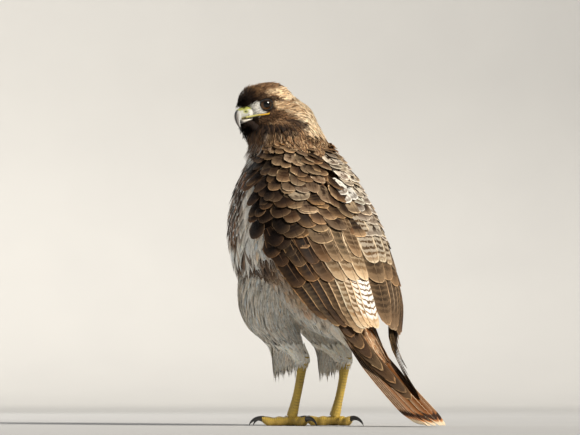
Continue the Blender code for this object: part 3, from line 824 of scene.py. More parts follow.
def body_colours(points, normals, draw):
    """Centre and edge colours of the feathers on the neck's foot, breast, belly, flanks and thighs."""
    x, y, z = points.T
    turn = np.abs(np.degrees(np.arctan2(x, -(y + 15))))
    streak = draw.random(len(points))
    patchy = noise(points, 16, 2)
    tint = mix(WHITE, CREAM, streak * 0.35)
    edge = mix(WHITE, PALEST, streak)
    breast = ramp(z, 206, 236) * (1 - ramp(z, 350, 372))
    side = ramp(turn, 22, 36) * ramp(turn, 74, 60)
    dark_side = mix(DARK, CINNAMON, ramp(streak, 0.35, 1.0) * 0.8)
    cloud = ramp(noise(points, 14, 6), 0.40, 0.56)
    share = breast * np.clip(0.5 + 0.5 * side - 0.55 * ramp(turn, 60, 74), 0, 1) * ramp(streak, 0.05, 0.15 + 0.35 * (1 - side))
    share = ramp(share * np.clip(cloud + 0.42 + 0.40 * ramp(z, 215, 285), 0, 1), 0.28, 0.62)
    tint = mix(tint, dark_side, share)
    edge = mix(edge, mix(TAN, WHITE, ramp(streak, 0.1, 0.4)), share * (1 - 0.6 * side))
    band = ramp(z, 174, 182) * ramp(z, 214, 202) * ramp(turn, 118, 96)
    blotch = band * ramp(noise(points, 11, 5), 0.40, 0.50)
    for middle, size in BELLY_BLOTCHES:
        away = np.sqrt((((np.stack((np.abs(x), y, z), axis=1) - middle) / size) ** 2).sum(axis=1))
        blotch = np.maximum(blotch, ramp(away, 1.2, 0.7))
    tint = mix(tint, mix(DARK, BROWN, streak), blotch * 0.95)
    edge = mix(edge, mix(BROWN, TAN, streak), blotch * 0.85)
    flank = ramp(z, 205, 220) * ramp(z, 262, 240) * ramp(turn, 40, 60)
    marks = flank * ramp(noise(points, 11, 8), 0.56, 0.66)
    tint = mix(tint, mix(BROWN, CINNAMON, streak), marks * 0.7)
    edge = mix(edge, BUFF, marks * 0.5)
    thigh = ramp(z, 172, 150)
    tint = mix(tint, mix(PALEST, CREAM, 0.35 * streak), thigh)
    back = ramp(normals[:, 1], -0.05, 0.35) * ramp(z, 120, 160)
    tint = mix(tint, mix(BROWN, WARM, streak), back)
    edge = mix(edge, mix(TAN, BUFF, streak), back)
    rump = back * ramp(z, 190, 150)
    tint = mix(tint, mix(CREAM, RUFOUS, streak * 0.8), rump)
    foot_of_neck = ramp(z, 322, 350)
    nape = ramp(y, -46, -30)
    tint = mix(tint, mix(BROWN, WARM, ramp(streak, 0.3, 0.9)), foot_of_neck * nape)
    edge = mix(edge, mix(GOLD, BUFF, streak), foot_of_neck * nape * 0.9)
    # Painted shade, partly real: the front of the neck's foot goes black-brown, its own dark feathers darkened as the
    # shade on the upper breast.
    gorget_and_painted_shade = foot_of_neck * (1 - nape) * ramp(z, 326, 350)
    tint = mix(tint, mix(BLACKISH, WARM, streak), gorget_and_painted_shade)
    edge = mix(edge, mix(BROWN, TAN, streak), gorget_and_painted_shade)
    return tint, edge


# Materials


class Nodes:
    """Short names for building a material's nodes."""

    def __init__(self, name, roughness=0.6, specular=0.3):
        self.material = bpy.data.materials.new(name)
        self.material.use_nodes = True
        self.tree = self.material.node_tree
        self.shader = self.tree.nodes["Principled BSDF"]
        self.shader.inputs["Roughness"].default_value = roughness
        self.shader.inputs["Specular IOR Level"].default_value = specular

    def new(self, kind, **settings):
        node = self.tree.nodes.new(kind)
        for key, value in settings.items():
            setattr(node, key, value)
        return node

    def link(self, value, socket):
        if isinstance(value, (int, float)):
            socket.default_value = value
        elif isinstance(value, tuple):
            socket.default_value = (*value, 1) if len(value) == 3 else value
        else:
            self.tree.links.new(value, socket)

    def math(self, operation, a, b=0.0, clamp=False):
        node = self.new("ShaderNodeMath", operation=operation, use_clamp=clamp)
        self.link(a, node.inputs[0])
        self.link(b, node.inputs[1])
        return node.outputs[0]

    def step(self, value, low, high):
        """Smooth from 0 at low to 1 at high."""
        node = self.new("ShaderNodeMapRange", interpolation_type="SMOOTHSTEP")
        self.link(value, node.inputs[0])
        self.link(low, node.inputs[1])
        self.link(high, node.inputs[2])
        return node.outputs[0]

    def blend(self, share, a, b, kind="MIX"):
        node = self.new("ShaderNodeMix", data_type="RGBA", blend_type=kind)
        self.link(share, node.inputs[0])
        self.link(a, node.inputs[6])
        self.link(b, node.inputs[7])
        return node.outputs[2]

    def attribute(self, name):
        return self.new("ShaderNodeAttribute", attribute_name=name)

    def noise(self, vector, scale, detail=3.0, distortion=0.0):
        node = self.new("ShaderNodeTexNoise")
        self.link(scale, node.inputs["Scale"])
        self.link(detail, node.inputs["Detail"])
        self.link(distortion, node.inputs["Distortion"])
        if vector is not None:
            self.link(vector, node.inputs["Vector"])
        return node.outputs["Fac"]

    def place(self):
        return self.new("ShaderNodeTexCoord").outputs["Object"]

    def bump(self, height, strength, distance):
        node = self.new("ShaderNodeBump")
        self.link(strength, node.inputs["Strength"])
        self.link(distance, node.inputs["Distance"])
        self.link(height, node.inputs["Height"])
        self.link(node.outputs[0], self.shader.inputs["Normal"])

    def colour(self, value):
        self.link(value, self.shader.inputs["Base Color"])


def vane_material(name, roughness=0.55, bars=6.0, barbs=70.0, slim=3.0, pale_bars=False, band=False):
    """A feather's vane: pale rim, shaft, curved bars, blotches and fine barbs, by its own UV and colours. Its base is
    darker, partly its own colour and partly painted shade from the feather lying over it.

    Where pale_bars is set, the third mark widens the pale bars instead of adding white blotches. A band is the
    tail's dark bar before its pale tip.
    """
    n = Nodes(name, roughness, 0.10)
    uv = n.new("ShaderNodeUVMap", uv_map="Vane")
    split = n.new("ShaderNodeSeparateXYZ")
    n.link(uv.outputs[0], split.inputs[0])
    across = n.math("ABSOLUTE", n.math("SUBTRACT", n.math("MULTIPLY", split.outputs[0], 2.0), 1.0))
    along = split.outputs[1]
    tint = n.attribute("tint").outputs["Color"]
    edge = n.attribute("edge").outputs["Color"]
    marks = n.attribute("marks")
    parts = n.new("ShaderNodeSeparateXYZ")
    n.link(marks.outputs["Vector"], parts.inputs[0])
    bar_share, rim_width, blotches = parts.outputs[0], parts.outputs[1], parts.outputs[2]
    tip_share = marks.outputs["Alpha"]
    place = n.place()
    wander = n.noise(place, 240.0, 2.0)
    wobble = n.math("SUBTRACT", wander, 0.5)

    end = n.math("SUBTRACT", 1.0, n.math("MULTIPLY", n.math("SUBTRACT", 1.0, along), slim))
    rim = n.math("MAXIMUM", across, end)
    rim_start = n.math("SUBTRACT", 1.0, rim_width)
    rim_start = n.math("SUBTRACT", rim_start, n.math("MULTIPLY", n.math("MULTIPLY", wobble, rim_width), 1.5))
    rim_share = n.step(rim, rim_start, n.math("ADD", rim_start, n.math("MULTIPLY", rim_width, 0.7)))

    # Painted shade, partly real: each feather darkens towards its base, both its own darker base colour and the shade
    # cast by the feather lying over it.
    depth = n.math("ADD", n.math("MULTIPLY", n.step(end, -0.7, 0.85), 0.66), 0.34)
    painted_base_shade = n.new("ShaderNodeCombineColor")
    for socket in painted_base_shade.inputs:
        n.link(depth, socket)
    base = n.blend(1.0, tint, painted_base_shade.outputs[0], "MULTIPLY")
    warm = n.blend(n.math("MULTIPLY", n.step(rim, 0.2, 1.0), 0.14), base, edge)
    drift = n.math("MULTIPLY", n.math("SUBTRACT", n.noise(place, 42.0, 1.0), 0.5), 0.8)
    phase = n.math("ADD", n.math("MULTIPLY", along, bars), n.math("MULTIPLY", wobble, 0.9))
    phase = n.math("ADD", n.math("ADD", phase, drift), n.math("MULTIPLY", across, -0.35))
    wave = n.math("SINE", n.math("MULTIPLY", phase, math.tau))
    if pale_bars:
        low = n.math("SUBTRACT", -0.2, n.math("MULTIPLY", blotches, 0.75))
        bar = n.math("MULTIPLY", n.step(wave, low, n.math("ADD", low, 0.9)), bar_share)
        off_tip = n.step(along, 0.985, 0.90)
        mottled = n.blend(n.math("MULTIPLY", bar, off_tip), warm, n.blend(blotches, edge, (*WHITE, 1)))
    else:
        bar = n.math("MULTIPLY", n.step(wave, -0.2, 0.75), bar_share)
        barred = n.blend(bar, warm, edge)
        patch = n.noise(place, 150.0, 1.0)
        off_tip = n.step(end, 0.70, 0.0)
        where = n.math("MAXIMUM", n.step(patch, 0.56, 0.47), n.step(across, 0.35, 0.62))
        mottle = n.math("MULTIPLY", n.math("MULTIPLY", where, blotches), off_tip)
        mottled = n.blend(mottle, barred, edge)
    if band:
        dark = n.math("MULTIPLY", n.step(along, 0.885, 0.90), n.step(along, 0.952, 0.94))
        mottled = n.blend(n.math("MULTIPLY", dark, 0.92), mottled, (*BLACKISH, 1))
        rim_share = n.math("MAXIMUM", rim_share, n.step(along, 0.955, 0.975))

    tip = n.math("MULTIPLY", n.step(end, 0.0, 0.8), tip_share)
    tipped = n.blend(tip, mottled, edge)
    rimmed = n.blend(n.math("MULTIPLY", rim_share, 0.92), tipped, edge)

    shaft = n.math("MULTIPLY", n.step(across, 0.07, 0.02), 0.4)
    shafted = n.blend(shaft, rimmed, (*BLACKISH, 1))
    comb = n.math("ADD", n.math("MULTIPLY", along, barbs), n.math("MULTIPLY", across, -barbs * 0.35))
    barb = n.math("SINE", n.math("MULTIPLY", comb, math.tau))
    fine = n.math("ADD", n.math("MULTIPLY", barb, 0.06), n.math("MULTIPLY", wander, 0.4))
    light = n.math("ADD", fine, 0.80)
    shade = n.new("ShaderNodeCombineColor")
    for socket in shade.inputs:
        n.link(light, socket)
    n.colour(n.blend(1.0, shafted, shade.outputs[0], "MULTIPLY"))
    n.bump(n.math("ADD", n.math("MULTIPLY", barb, 0.4), wander), 0.35, 0.0006)
    return n.material


def tuft_material(name, roughness=0.75, slim=4.0):
    """Narrow feathers and down: one colour at the root and along the middle, another along the rim and at the tip."""
    n = Nodes(name, roughness, 0.2)
    uv = n.new("ShaderNodeUVMap", uv_map="Vane")
    split = n.new("ShaderNodeSeparateXYZ")
    n.link(uv.outputs[0], split.inputs[0])
    across = n.math("ABSOLUTE", n.math("SUBTRACT", n.math("MULTIPLY", split.outputs[0], 2.0), 1.0))
    end = n.math("SUBTRACT", 1.0, n.math("MULTIPLY", n.math("SUBTRACT", 1.0, split.outputs[1]), slim))
    tint = n.attribute("tint").outputs["Color"]
    edge = n.attribute("edge").outputs["Color"]
    share = n.step(n.math("MAXIMUM", across, end), 0.3, 0.95)
    wander = n.noise(n.place(), 420.0, 2.0)
    base = n.blend(share, tint, edge)
    light = n.math("ADD", n.math("MULTIPLY", wander, 0.5), 0.75)
    shade = n.new("ShaderNodeCombineColor")
    for socket in shade.inputs:
        n.link(light, socket)
    n.colour(n.blend(1.0, base, shade.outputs[0], "MULTIPLY"))
    return n.material


def skin_material():
    """What shows between the feathers: down in the coat's colours, painted darker as the shade in the gaps, and darker
    still in noisy patches.
    """
    n = Nodes("skin_down_painted_shade", 0.85, 0.15)
    tint = n.attribute("tint").outputs["Color"]
    wander = n.noise(n.place(), 900.0, 4.0)
    light = n.math("ADD", n.math("MULTIPLY", wander, 0.6), 0.45)
    shade = n.new("ShaderNodeCombineColor")
    for socket in shade.inputs:
        n.link(light, socket)
    n.colour(n.blend(1.0, tint, shade.outputs[0], "MULTIPLY"))
    n.bump(wander, 0.5, 0.0008)
    return n.material


def horn_material(name, roughness=0.28):
    """Bill and claws: painted colours with fine growth streaks under a hard gloss."""
    n = Nodes(name, roughness, 0.5)
    tint = n.attribute("tint").outputs["Color"]
    streaks = n.noise(n.place(), 700.0, 4.0, 1.5)
    light = n.math("ADD", n.math("MULTIPLY", streaks, 0.4), 0.8)
    shade = n.new("ShaderNodeCombineColor")
    for socket in shade.inputs:
        n.link(light, socket)
    n.colour(n.blend(1.0, tint, shade.outputs[0], "MULTIPLY"))
    n.bump(streaks, 0.2, 0.0003)
    n.shader.inputs["Coat Weight"].default_value = 0.2
    n.shader.inputs["Coat Roughness"].default_value = 0.25
    return n.material


def leather_material(name, cells=900.0, roughness=0.42, seams=0.28):
    """Bare skin of the cere, lids and feet: small pebbled scales with darker seams."""
    n = Nodes(name, roughness, 0.4)
    tint = n.attribute("tint").outputs["Color"]
    scales = n.new("ShaderNodeTexVoronoi", feature="DISTANCE_TO_EDGE")
    n.link(n.place(), scales.inputs["Vector"])
    n.link(cells, scales.inputs["Scale"])
    seam = n.step(scales.outputs["Distance"], 0.0, 0.16)
    wander = n.noise(n.place(), 260.0, 3.0)
    light = n.math("ADD", n.math("MULTIPLY", seam, seams), n.math("MULTIPLY", wander, 0.45))
    light = n.math("ADD", light, 0.78 - seams)
    shade = n.new("ShaderNodeCombineColor")
    for socket in shade.inputs:
        n.link(light, socket)
    n.colour(n.blend(1.0, tint, shade.outputs[0], "MULTIPLY"))
    n.bump(seam, 0.6, 0.0004)
    return n.material


def eye_material():
    """A wet eye: its colours are painted on the ball, under a clear coat that catches the light."""
    n = Nodes("eye_wet", 0.3, 0.08)
    n.colour(n.attribute("tint").outputs["Color"])
    n.shader.inputs["Coat Weight"].default_value = 0.7
    n.shader.inputs["Coat Roughness"].default_value = 0.02
    n.shader.inputs["Coat IOR"].default_value = 1.5
    return n.material


def floor_material():
    n = Nodes("floor_pale", 0.9, 0.2)
    wander = n.noise(n.place(), 3.0, 2.0)
    n.colour(n.blend(wander, (0.56, 0.56, 0.56), (0.60, 0.60, 0.595)))
    return n.material


# Coats of the head and body


def near_eye(points):
    """How far each point is from the nearer eye's middle."""
    ends = [np.linalg.norm(points - head_point(0, EYE_OUT * side, 0), axis=1) for side in (1, -1)]
    return np.minimum(*ends)


def on_bill(points):
    """True where the bill or cere covers the head."""
    ahead, left, up = in_head(points)
    return (ahead > 13.5) & (up < 1.5) & (up > -17.5) & (np.abs(left) < 12.5)


def on_gape(points):
    ahead, left, up = in_head(points)
    return (ahead > -1) & (ahead < 24) & (np.abs(up + 12) < 1.6)


def head_feathers(body, name, material, seed, keep, gaps_of, size_of, shape):
    """One coat of head feathers where keep says so, with gaps, lengths, half widths and lifts by place."""
    draw = np.random.default_rng(seed)
    points, normals = surface_samples(body.mesh, 420000, draw)
    chosen = keep(points) & ~on_bill(points) & ~on_gape(points) & (near_eye(points) > 10.2)
    points, normals = points[chosen], normals[chosen]
    kept = spread_out(points, gaps_of(points))
    points, normals = points[kept], normals[kept]
    count = len(points)
    long, half, lift = size_of(points)
    full = head_fullness(points)
    ruffled = 1.0 * (draw.random(count) < 0.07)
    lifts = np.stack((full - 0.5, full + (lift + ruffled) * draw.uniform(0.6, 1.4, count)), axis=1)
    lines, outs = body.lines(points, long * draw.uniform(0.8, 1.2, count), lifts, 5, draw.normal(0, 0.13, count))
    seen = lines[:, 3]
    tint, edge = head_colours(seen, draw)
    low = ramp(seen[:, 2], 366, 350)
    body_tint, body_edge = body_colours(seen, normals, draw)
    tint = vary(mix(tint, body_tint, low), draw, 0.20)
    edge = vary(mix(edge, body_edge, low), draw, 0.14)
    coat = Coat()
    coat.add(lines, outs, half * draw.uniform(0.85, 1.15, count), tint, edge, (0, 0.3, 0, 0), body_patch(points, "head"))
    return build_coat(name, coat, material, "head", seed + 1, **shape)


def head_fullness(points):
    """How far the feathers stand off the skin where the bird puffs them: over the bill and on the throat."""
    ahead, left, up = in_head(points)
    forehead = ramp(ahead, 0, 9) * ramp(up, 1.5, 8) * ramp(np.abs(left), 17, 9)
    throat = ramp(up, -20, -30) * ramp(up, -62, -48) * ramp(ahead, -16, 4)
    return 4.6 * forehead + 3.5 * throat


def face_share(points):
    ahead, left, up = in_head(points)
    return ramp(ahead, -10, 6) * ramp(near_eye(points), 30, 15)


def head_coat(body, material):
    """Small feathers over the head, longer on the nape and throat, shortest between eye and bill."""

    def size_of(points):
        ahead, left, up = in_head(points)
        face = face_share(points)
        neck = ramp(points[:, 2], 386, 354)
        throat = ramp(up, -20, -32) * ramp(ahead, -20, 2)
        long = 9.5 - 5.2 * face + 8 * neck + 3 * ramp(ahead, -16, -40) + 3.5 * throat
        half = 1.25 - 0.68 * face + 0.75 * neck
        lift = 0.5 + 0.35 * (1 - face) + 0.7 * neck + 2.2 * throat
        return long, half, lift

    def gaps_of(points):
        return 1.75 - 0.85 * face_share(points) + 1.0 * ramp(points[:, 2], 384, 352)

    shape = {"columns": 4, "rows": 5, "round": 0.28, "blunt": 0.45, "base": 0.7, "tip_width": 0.30, "camber": 0.22}

    def on_face(points):
        return face_share(points) > 0.25

    head_feathers(
        body, "plumage_head", material, 11, lambda p: (p[:, 2] > 350) & ~on_face(p), gaps_of, size_of, shape
    )
    fine = {**shape, "rows": 4, "columns": 3, "round": 0.4, "ragged": 0.05}
    head_feathers(body, "plumage_face", material, 13, lambda p: (p[:, 2] > 350) & on_face(p), gaps_of, size_of, fine)


def fringe(name, roots, ways, outs, lengths, widths, tints, material, seed, bend=0.22, **shape):
    """Free-standing small feathers from roots along ways, bending towards the skin."""
    count = len(roots)
    t = np.linspace(0, 1, 5)[None, :, None]
    lines = roots[:, None] + ways[:, None] * lengths[:, None, None] * t
    lines = lines + outs[:, None] * (lengths[:, None, None] * bend * np.sin(t * math.pi * 0.8))
    coat = Coat()
    sides = np.repeat(outs[:, None], 5, axis=1)
    coat.add(lines, sides, widths, tints, tints * 1.25, (0, 0.2, 0, 0), body_patch(roots, "head"))
    form = {"columns": 3, "rows": 5, "round": 0.4, "blunt": 0.4, "tip_width": 0.15, "camber": 0.15, **shape}
    return build_coat(name, coat, material, "head", seed, **form)


def brow_feathers(material):
    """Short feathers on the brow ridge, painted black at its lower edge as the shade over the eye, that overhang the
    top of each eye.
    """
    draw = np.random.default_rng(35)
    roots, ways, outs, tints = [], [], [], []
    ridge = ((14, 5.2, 0.2), (9.5, 8.3, 0.9), (4, 9.7, 1.5), (-2, 9.6, 1.3), (-8, 8.0, 0.5), (-12.5, 5.8, -0.2))
    for side in (1, -1):
        for row in range(4):
            for share in np.linspace(0, 1, 44):
                ahead, up, out = spline(ridge, min(max(share + draw.normal(0, 0.012), 0), 1))
                roots.append(on_cheek(ahead, side, up + row * 0.7 + 0.2, out - 0.35 * row))
                down = 0.35 + 0.25 * math.sin(math.pi * share) - 0.08 * row
                ways.append(unit(-AHEAD * 0.9 - UP * down + LEFT * side * 0.25 + draw.normal(0, 0.10, 3)))
                outs.append(unit(LEFT * side + UP * 0.45))
                # Painted shade: the lowest row is black, the shadow line under the brow; rows above it and the back end
                # grow lighter.
                light = min(0.25 * row + 0.9 * max(share - 0.55, 0) + 0.2 * draw.random(), 1)
                tints.append(mix(BLACKISH, WARM, light))
    count = len(roots)
    lengths = draw.uniform(3.0, 4.4, count)
    places = map(np.array, (roots, ways, outs))
    fringe("feathers_brow", *places, lengths, np.full(count, 0.55), np.array(tints), material, 36)


def forehead_feathers(material):
    """Near-black bristly feathers that lean forward over the top of the cere: their own dark brown, darkened further as
    painted shade.
    """
    draw = np.random.default_rng(37)
    count = 620
    ahead = draw.uniform(13, 21.0, count)
    left = draw.uniform(-1, 1, count) * (11.5 - 0.30 * (ahead - 10))
    level = spline(((13, 16.0), (16, 12.0), (18.5, 8.0), (21, 4.0)), (ahead - 13) / 8)[:, 1]
    up = level * np.sqrt(np.maximum(1 - (left / 14.5) ** 2, 0.1)) - 0.8
    roots = np.array([head_point(*place) for place in zip(ahead, left, up)])
    outs = unit(np.outer(left / 13, LEFT) + UP * 0.8 + AHEAD * 0.55)
    ways = unit(AHEAD * 0.8 - UP * 0.5 + np.outer(left / 13, LEFT) * 0.45 + draw.normal(0, 0.11, (count, 3)))
    # Painted shade, partly real: black to dark brown, darker than the forehead's own colour.
    tints = mix(BLACKISH, DARK, draw.random(count) ** 2)
    lengths = draw.uniform(4.5, 7.5, count)
    fringe("feathers_forehead", roots, ways, outs, lengths, np.full(count, 0.5), tints, material, 38)


def beard_feathers(material):
    """Loose black feathers of the throat, that hang forward under the bill."""
    draw = np.random.default_rng(39)
    count = 1900
    share = draw.random(count)
    ahead, up, half = spline(((22, -17.6, 5), (16, -21, 8), (11, -29, 12), (5, -38, 15), (-2, -44, 17)), share).T
    left = draw.uniform(-1, 1, count) * half
    up = up + 0.45 * np.abs(left)
    roots = np.array([head_point(*place) for place in zip(ahead, left, up)])
    forward = 0.35 + 0.35 * np.sin(share * math.pi)
    ways = unit(np.outer(forward, AHEAD) - UP + np.outer(left / half, LEFT) * 0.22 + draw.normal(0, 0.12, (count, 3)))
    outs = unit(AHEAD * 0.9 - UP * 0.2 + np.outer(left / half, LEFT) * 0.9)
    tints = mix(BLACKISH, DARK, draw.random(count) ** 2)
    lengths = draw.uniform(7, 14, count) * (0.75 + 0.30 * np.sin(share * math.pi))
    fringe("feathers_beard", roots, ways, outs, lengths, draw.uniform(0.45, 0.9, count), tints, material, 40)


def cere_bristles(material):
    """Pale bristly feathers of the lore that lie forward over the back of the cere."""
    draw = np.random.default_rng(43)
    roots, ways, outs = [], [], []
    for side in (1, -1):
        for i in range(240):
            ahead = draw.uniform(14.0, 19.5)
            half_width, top, bottom = spline(CERE, (ahead - 15) / 12.5)[1:]
            up = draw.uniform(-10.2, -0.8 - 0.25 * (ahead - 15))
            level = abs(up - (top + bottom) / 2) / ((top - bottom) / 2)
            width = half_width * max(1 - level ** 2.3, 0.02) ** (1 / 2.3)
            roots.append(head_point(ahead, side * (width * 1.03 - 0.1), up))
            ways.append(unit(AHEAD * 0.9 - UP * (0.20 - 0.04 * up) - LEFT * side * 0.16 + draw.normal(0, 0.07, 3)))
            outs.append(unit(LEFT * side + UP * 0.1))
    count = len(roots)
    tints = mix(GREY_WHITE, WHITE, draw.random(count))
    lengths = draw.uniform(3.2, 6.0, count)
    places = map(np.array, (roots, ways, outs))
    fringe("feathers_cere", *places, lengths, np.full(count, 0.24), tints, material, 44, 0.04, round=0.1, tip_width=0.05)


def lore_bristles(body, material):
    """Fine pale bristles between eye and bill, that arch over the cere, and dark ones under the bill."""
    draw = np.random.default_rng(31)
    points, normals = surface_samples(body.mesh, 500000, draw)
    ahead, left, up = in_head(points)
    lore = (ahead > 3) & (ahead < 19) & (up < 6) & (up > -12) & (near_eye(points) > 10.3)
    chin = (ahead > 2) & (ahead < 16) & (up < -16) & (up > -24)
    chosen = np.flatnonzero(lore | chin)
    chosen = chosen[spread_out(points[chosen], np.full(len(chosen), 0.9))]
    points, normals = points[chosen], normals[chosen]
    ahead, left, up = in_head(points)
    is_lore = ramp(up, -15, -13)
    count = len(points)

    def way_of(here, out):
        a, l, u = in_head(here)
        forward = AHEAD * 1.0 + UP * -0.25
        down = AHEAD * -0.1 + UP * -1.0
        way = mix(down, forward, ramp(u, -15, -13))
        way = way - out * dot(way, out)[:, None]
        return unit(way)

    long = mix((7.0,), (5.6,), is_lore)[:, 0] * draw.uniform(0.7, 1.3, count)
    lifts = np.stack((np.full(count, -0.2), draw.uniform(0.5, 1.3, count)), axis=1)
    lines, outs = body.lines(points, long, lifts, 4, draw.normal(0, 0.3, count), way_of=way_of)
    tint = mix(mix(BLACKISH, BROWN, draw.random(count)), mix(WHITE, PALEST, draw.random(count)), is_lore)
    dark = (draw.random(count) < 0.12)[:, None]
    tint = np.where(dark, np.array(DARK), tint)
    coat = Coat()
    coat.add(lines, outs, np.full(count, 0.22), tint, tint, (0, 0, 0, 0), body_patch(points, "head"))
    return build_coat(
        "bristles_lore", coat, material, "head", 32, columns=2, rows=4, blunt=0.2, tip_width=0.1, round=0.0, camber=0.0
    )


def body_coat(body, material):
    """Soft feathers of the breast, belly and flanks, each narrow with a loose rim."""
    draw = np.random.default_rng(21)
    points, normals = surface_samples(body.mesh, 120000, draw)
    keep = (points[:, 2] <= 356) & (points[:, 2] > 96) & (normals[:, 1] < 0.55)
    points, normals = points[keep], normals[keep]
    turn = np.abs(np.degrees(np.arctan2(points[:, 0], -(points[:, 1] + 15))))
    big = ramp(turn, 14, 30) * ramp(points[:, 2], 205, 225) * ramp(points[:, 2], 345, 315)
    kept = spread_out(points, 4.2 + 2.2 * big + 0.4 * draw.random(len(points)))
    big = big[kept]
    open_to_view = np.array([not body.hidden(points[i], normals[i]) for i in kept])
    kept, big = kept[open_to_view], big[open_to_view]
    points, normals = points[kept], normals[kept]
    count = len(points)
    top = ramp(points[:, 2], 300, 350)
    long = (25 - 7 * top + 4 * big) * draw.uniform(0.85, 1.2, count)
    turn = np.abs(np.degrees(np.arctan2(points[:, 0], -(points[:, 1] + 15))))
    full = ramp(turn, 12, 32) * ramp(turn, 84, 62) * ramp(points[:, 2], 182, 200) * ramp(points[:, 2], 345, 290)
    lifts = np.stack((-0.8 + 2.4 * full, draw.uniform(1.6, 3.4, count) + 4.2 * full), axis=1)
    lines, outs = body.lines(points, long, lifts, 6, draw.normal(0, 0.14, count))
    clear = body.clear_of_wings(lines)
    tint, edge = body_colours(lines[:, 3], normals, draw)
    coat = Coat()
    widths = (4.2 - 0.9 * top + 2.4 * big) * draw.uniform(0.85, 1.15, count)
    parts = (lines, outs, widths, vary(tint, draw, 0.07), vary(edge, draw, 0.05))
    coat.add(*(part[clear] for part in parts), (0, 0.22, 0, 0.2), body_patch(points[clear], "body"))
    shape = {"columns": 6, "rows": 7, "round": 0.35, "blunt": 0.45, "tip_width": 0.35, "ragged": 0.09, "camber": 0.16}
    return build_coat("plumage_breast", coat, material, "torso", 22, **shape)


def down_coat(body, name, material, slot, seed, keep_where, gap, long, half_width, droop=0.0, rise=(1.5, 4.0)):
    """Loose barbs over the soft feathers, as thin ribbons that hang along the coat."""
    draw = np.random.default_rng(seed)
    points, normals = surface_samples(body.mesh, 260000, draw)
    keep = keep_where(points, normals)
    points, normals = points[keep], normals[keep]
    kept = spread_out(points, np.full(len(points), gap))
    kept = kept[np.array([not body.hidden(points[i], normals[i]) for i in kept])]
    points, normals = points[kept], normals[kept]
    count = len(points)
    lengths = long * draw.uniform(0.6, 1.25, count)
    lifts = np.stack((np.zeros(count), draw.uniform(*rise, count)), axis=1)
    lines, outs = body.lines(points, lengths, lifts, 5, draw.normal(0, 0.22, count), droop)
    tint, edge = body_colours(points, normals, draw)
    coat = Coat()
    widths = half_width * draw.uniform(0.6, 1.3, count)
    clear = body.clear_of_wings(lines)
    parts = (lines, outs, widths, vary(tint, draw, 0.06), vary(edge, draw, 0.05))
    coat.add(*(part[clear] for part in parts), (0, 0, 0, 0), body_patch(points[clear], "body"))
    shape = {"columns": 2, "rows": 5, "round": 0.0, "blunt": 0.15, "tip_width": 0.05, "camber": 0.0, "base": 0.8}
    return build_coat(name, coat, material, slot, seed + 1, **shape)


def trouser_tufts(material, side, seed):
    """Long soft feathers that hang round the thigh, and the loose hem below it."""
    draw = np.random.default_rng(seed)
    count = 2300
    share = draw.random(count) ** 0.9 * 0.76 + 0.06
    turn = draw.uniform(0, math.tau, count)
    section = spline(THIGH, share)
    out = np.stack((np.sin(turn), -np.cos(turn), np.zeros(count)), axis=1)
    root = section[:, :3] + out * (section[:, 3:5].mean(axis=1) - 6)[:, None]
    root[:, 0] = section[:, 0] + np.sin(turn) * (section[:, 3] - 5.5)
    root[:, 1] = section[:, 1] - np.cos(turn) * (section[:, 4] - 5.5)
    forward = (1 + np.cos(turn)) / 2
    long = (26 + 10 * forward) * draw.uniform(0.7, 1.2, count)
    stations = 6
    t = np.linspace(0, 1, stations)
    z = root[:, 2:3] - long[:, None] * t
    tucked = np.zeros((count, stations, 3))
    last = 0.74
    top = ramp(share, 0.30, 0.06)
    for i in range(stations):
        s = np.interp(z[:, i], [k[2] for k in THIGH[::-1]], np.linspace(1, 0, len(THIGH)))
        s = np.minimum(s, last)
        part = spline(THIGH, s)
        below = np.maximum(part[:, 2] - z[:, i], 0)
        close = 2.2 + 1.2 * t[i] - 5.5 * (1 - t[i]) ** 2 - below * 0.10 - 5.0 * top * (1 - t[i]) - 1.2 * top
        tucked[:, i, 0] = part[:, 0] + np.sin(turn) * (part[:, 3] + close - 1.5)
        tucked[:, i, 1] = part[:, 1] - np.cos(turn) * (part[:, 4] + close - 1.5)
        tucked[:, i, 2] = z[:, i]
    outs = np.repeat(out[:, None, :], stations, axis=1)
    streak = draw.random(count)
    tint = mix(WHITE, CREAM, 0.1 + 0.3 * streak)
    edge = mix(PALEST, CREAM, 0.1 + 0.3 * streak)
    if side < 0:
        tucked, outs = mirror(tucked), mirror(outs)
    coat = Coat()
    places = np.stack((0.04 + 0.92 * turn / math.tau, 0.04 + 0.92 * share), axis=1)
    coat.add(
        tucked, outs, draw.uniform(1.8, 3.4, count), vary(tint, draw, 0.04), vary(edge, draw, 0.04), (0, 0.3, 0, 0), places
    )
    name = "left" if side > 0 else "right"
    shape = {"columns": 4, "rows": 6, "round": 0.4, "blunt": 0.2, "tip_width": 0.08, "ragged": 0.12, "camber": 0.2}
    return build_coat("plumage_thigh_" + name, coat, material, "thigh_" + name, seed + 1, **shape)


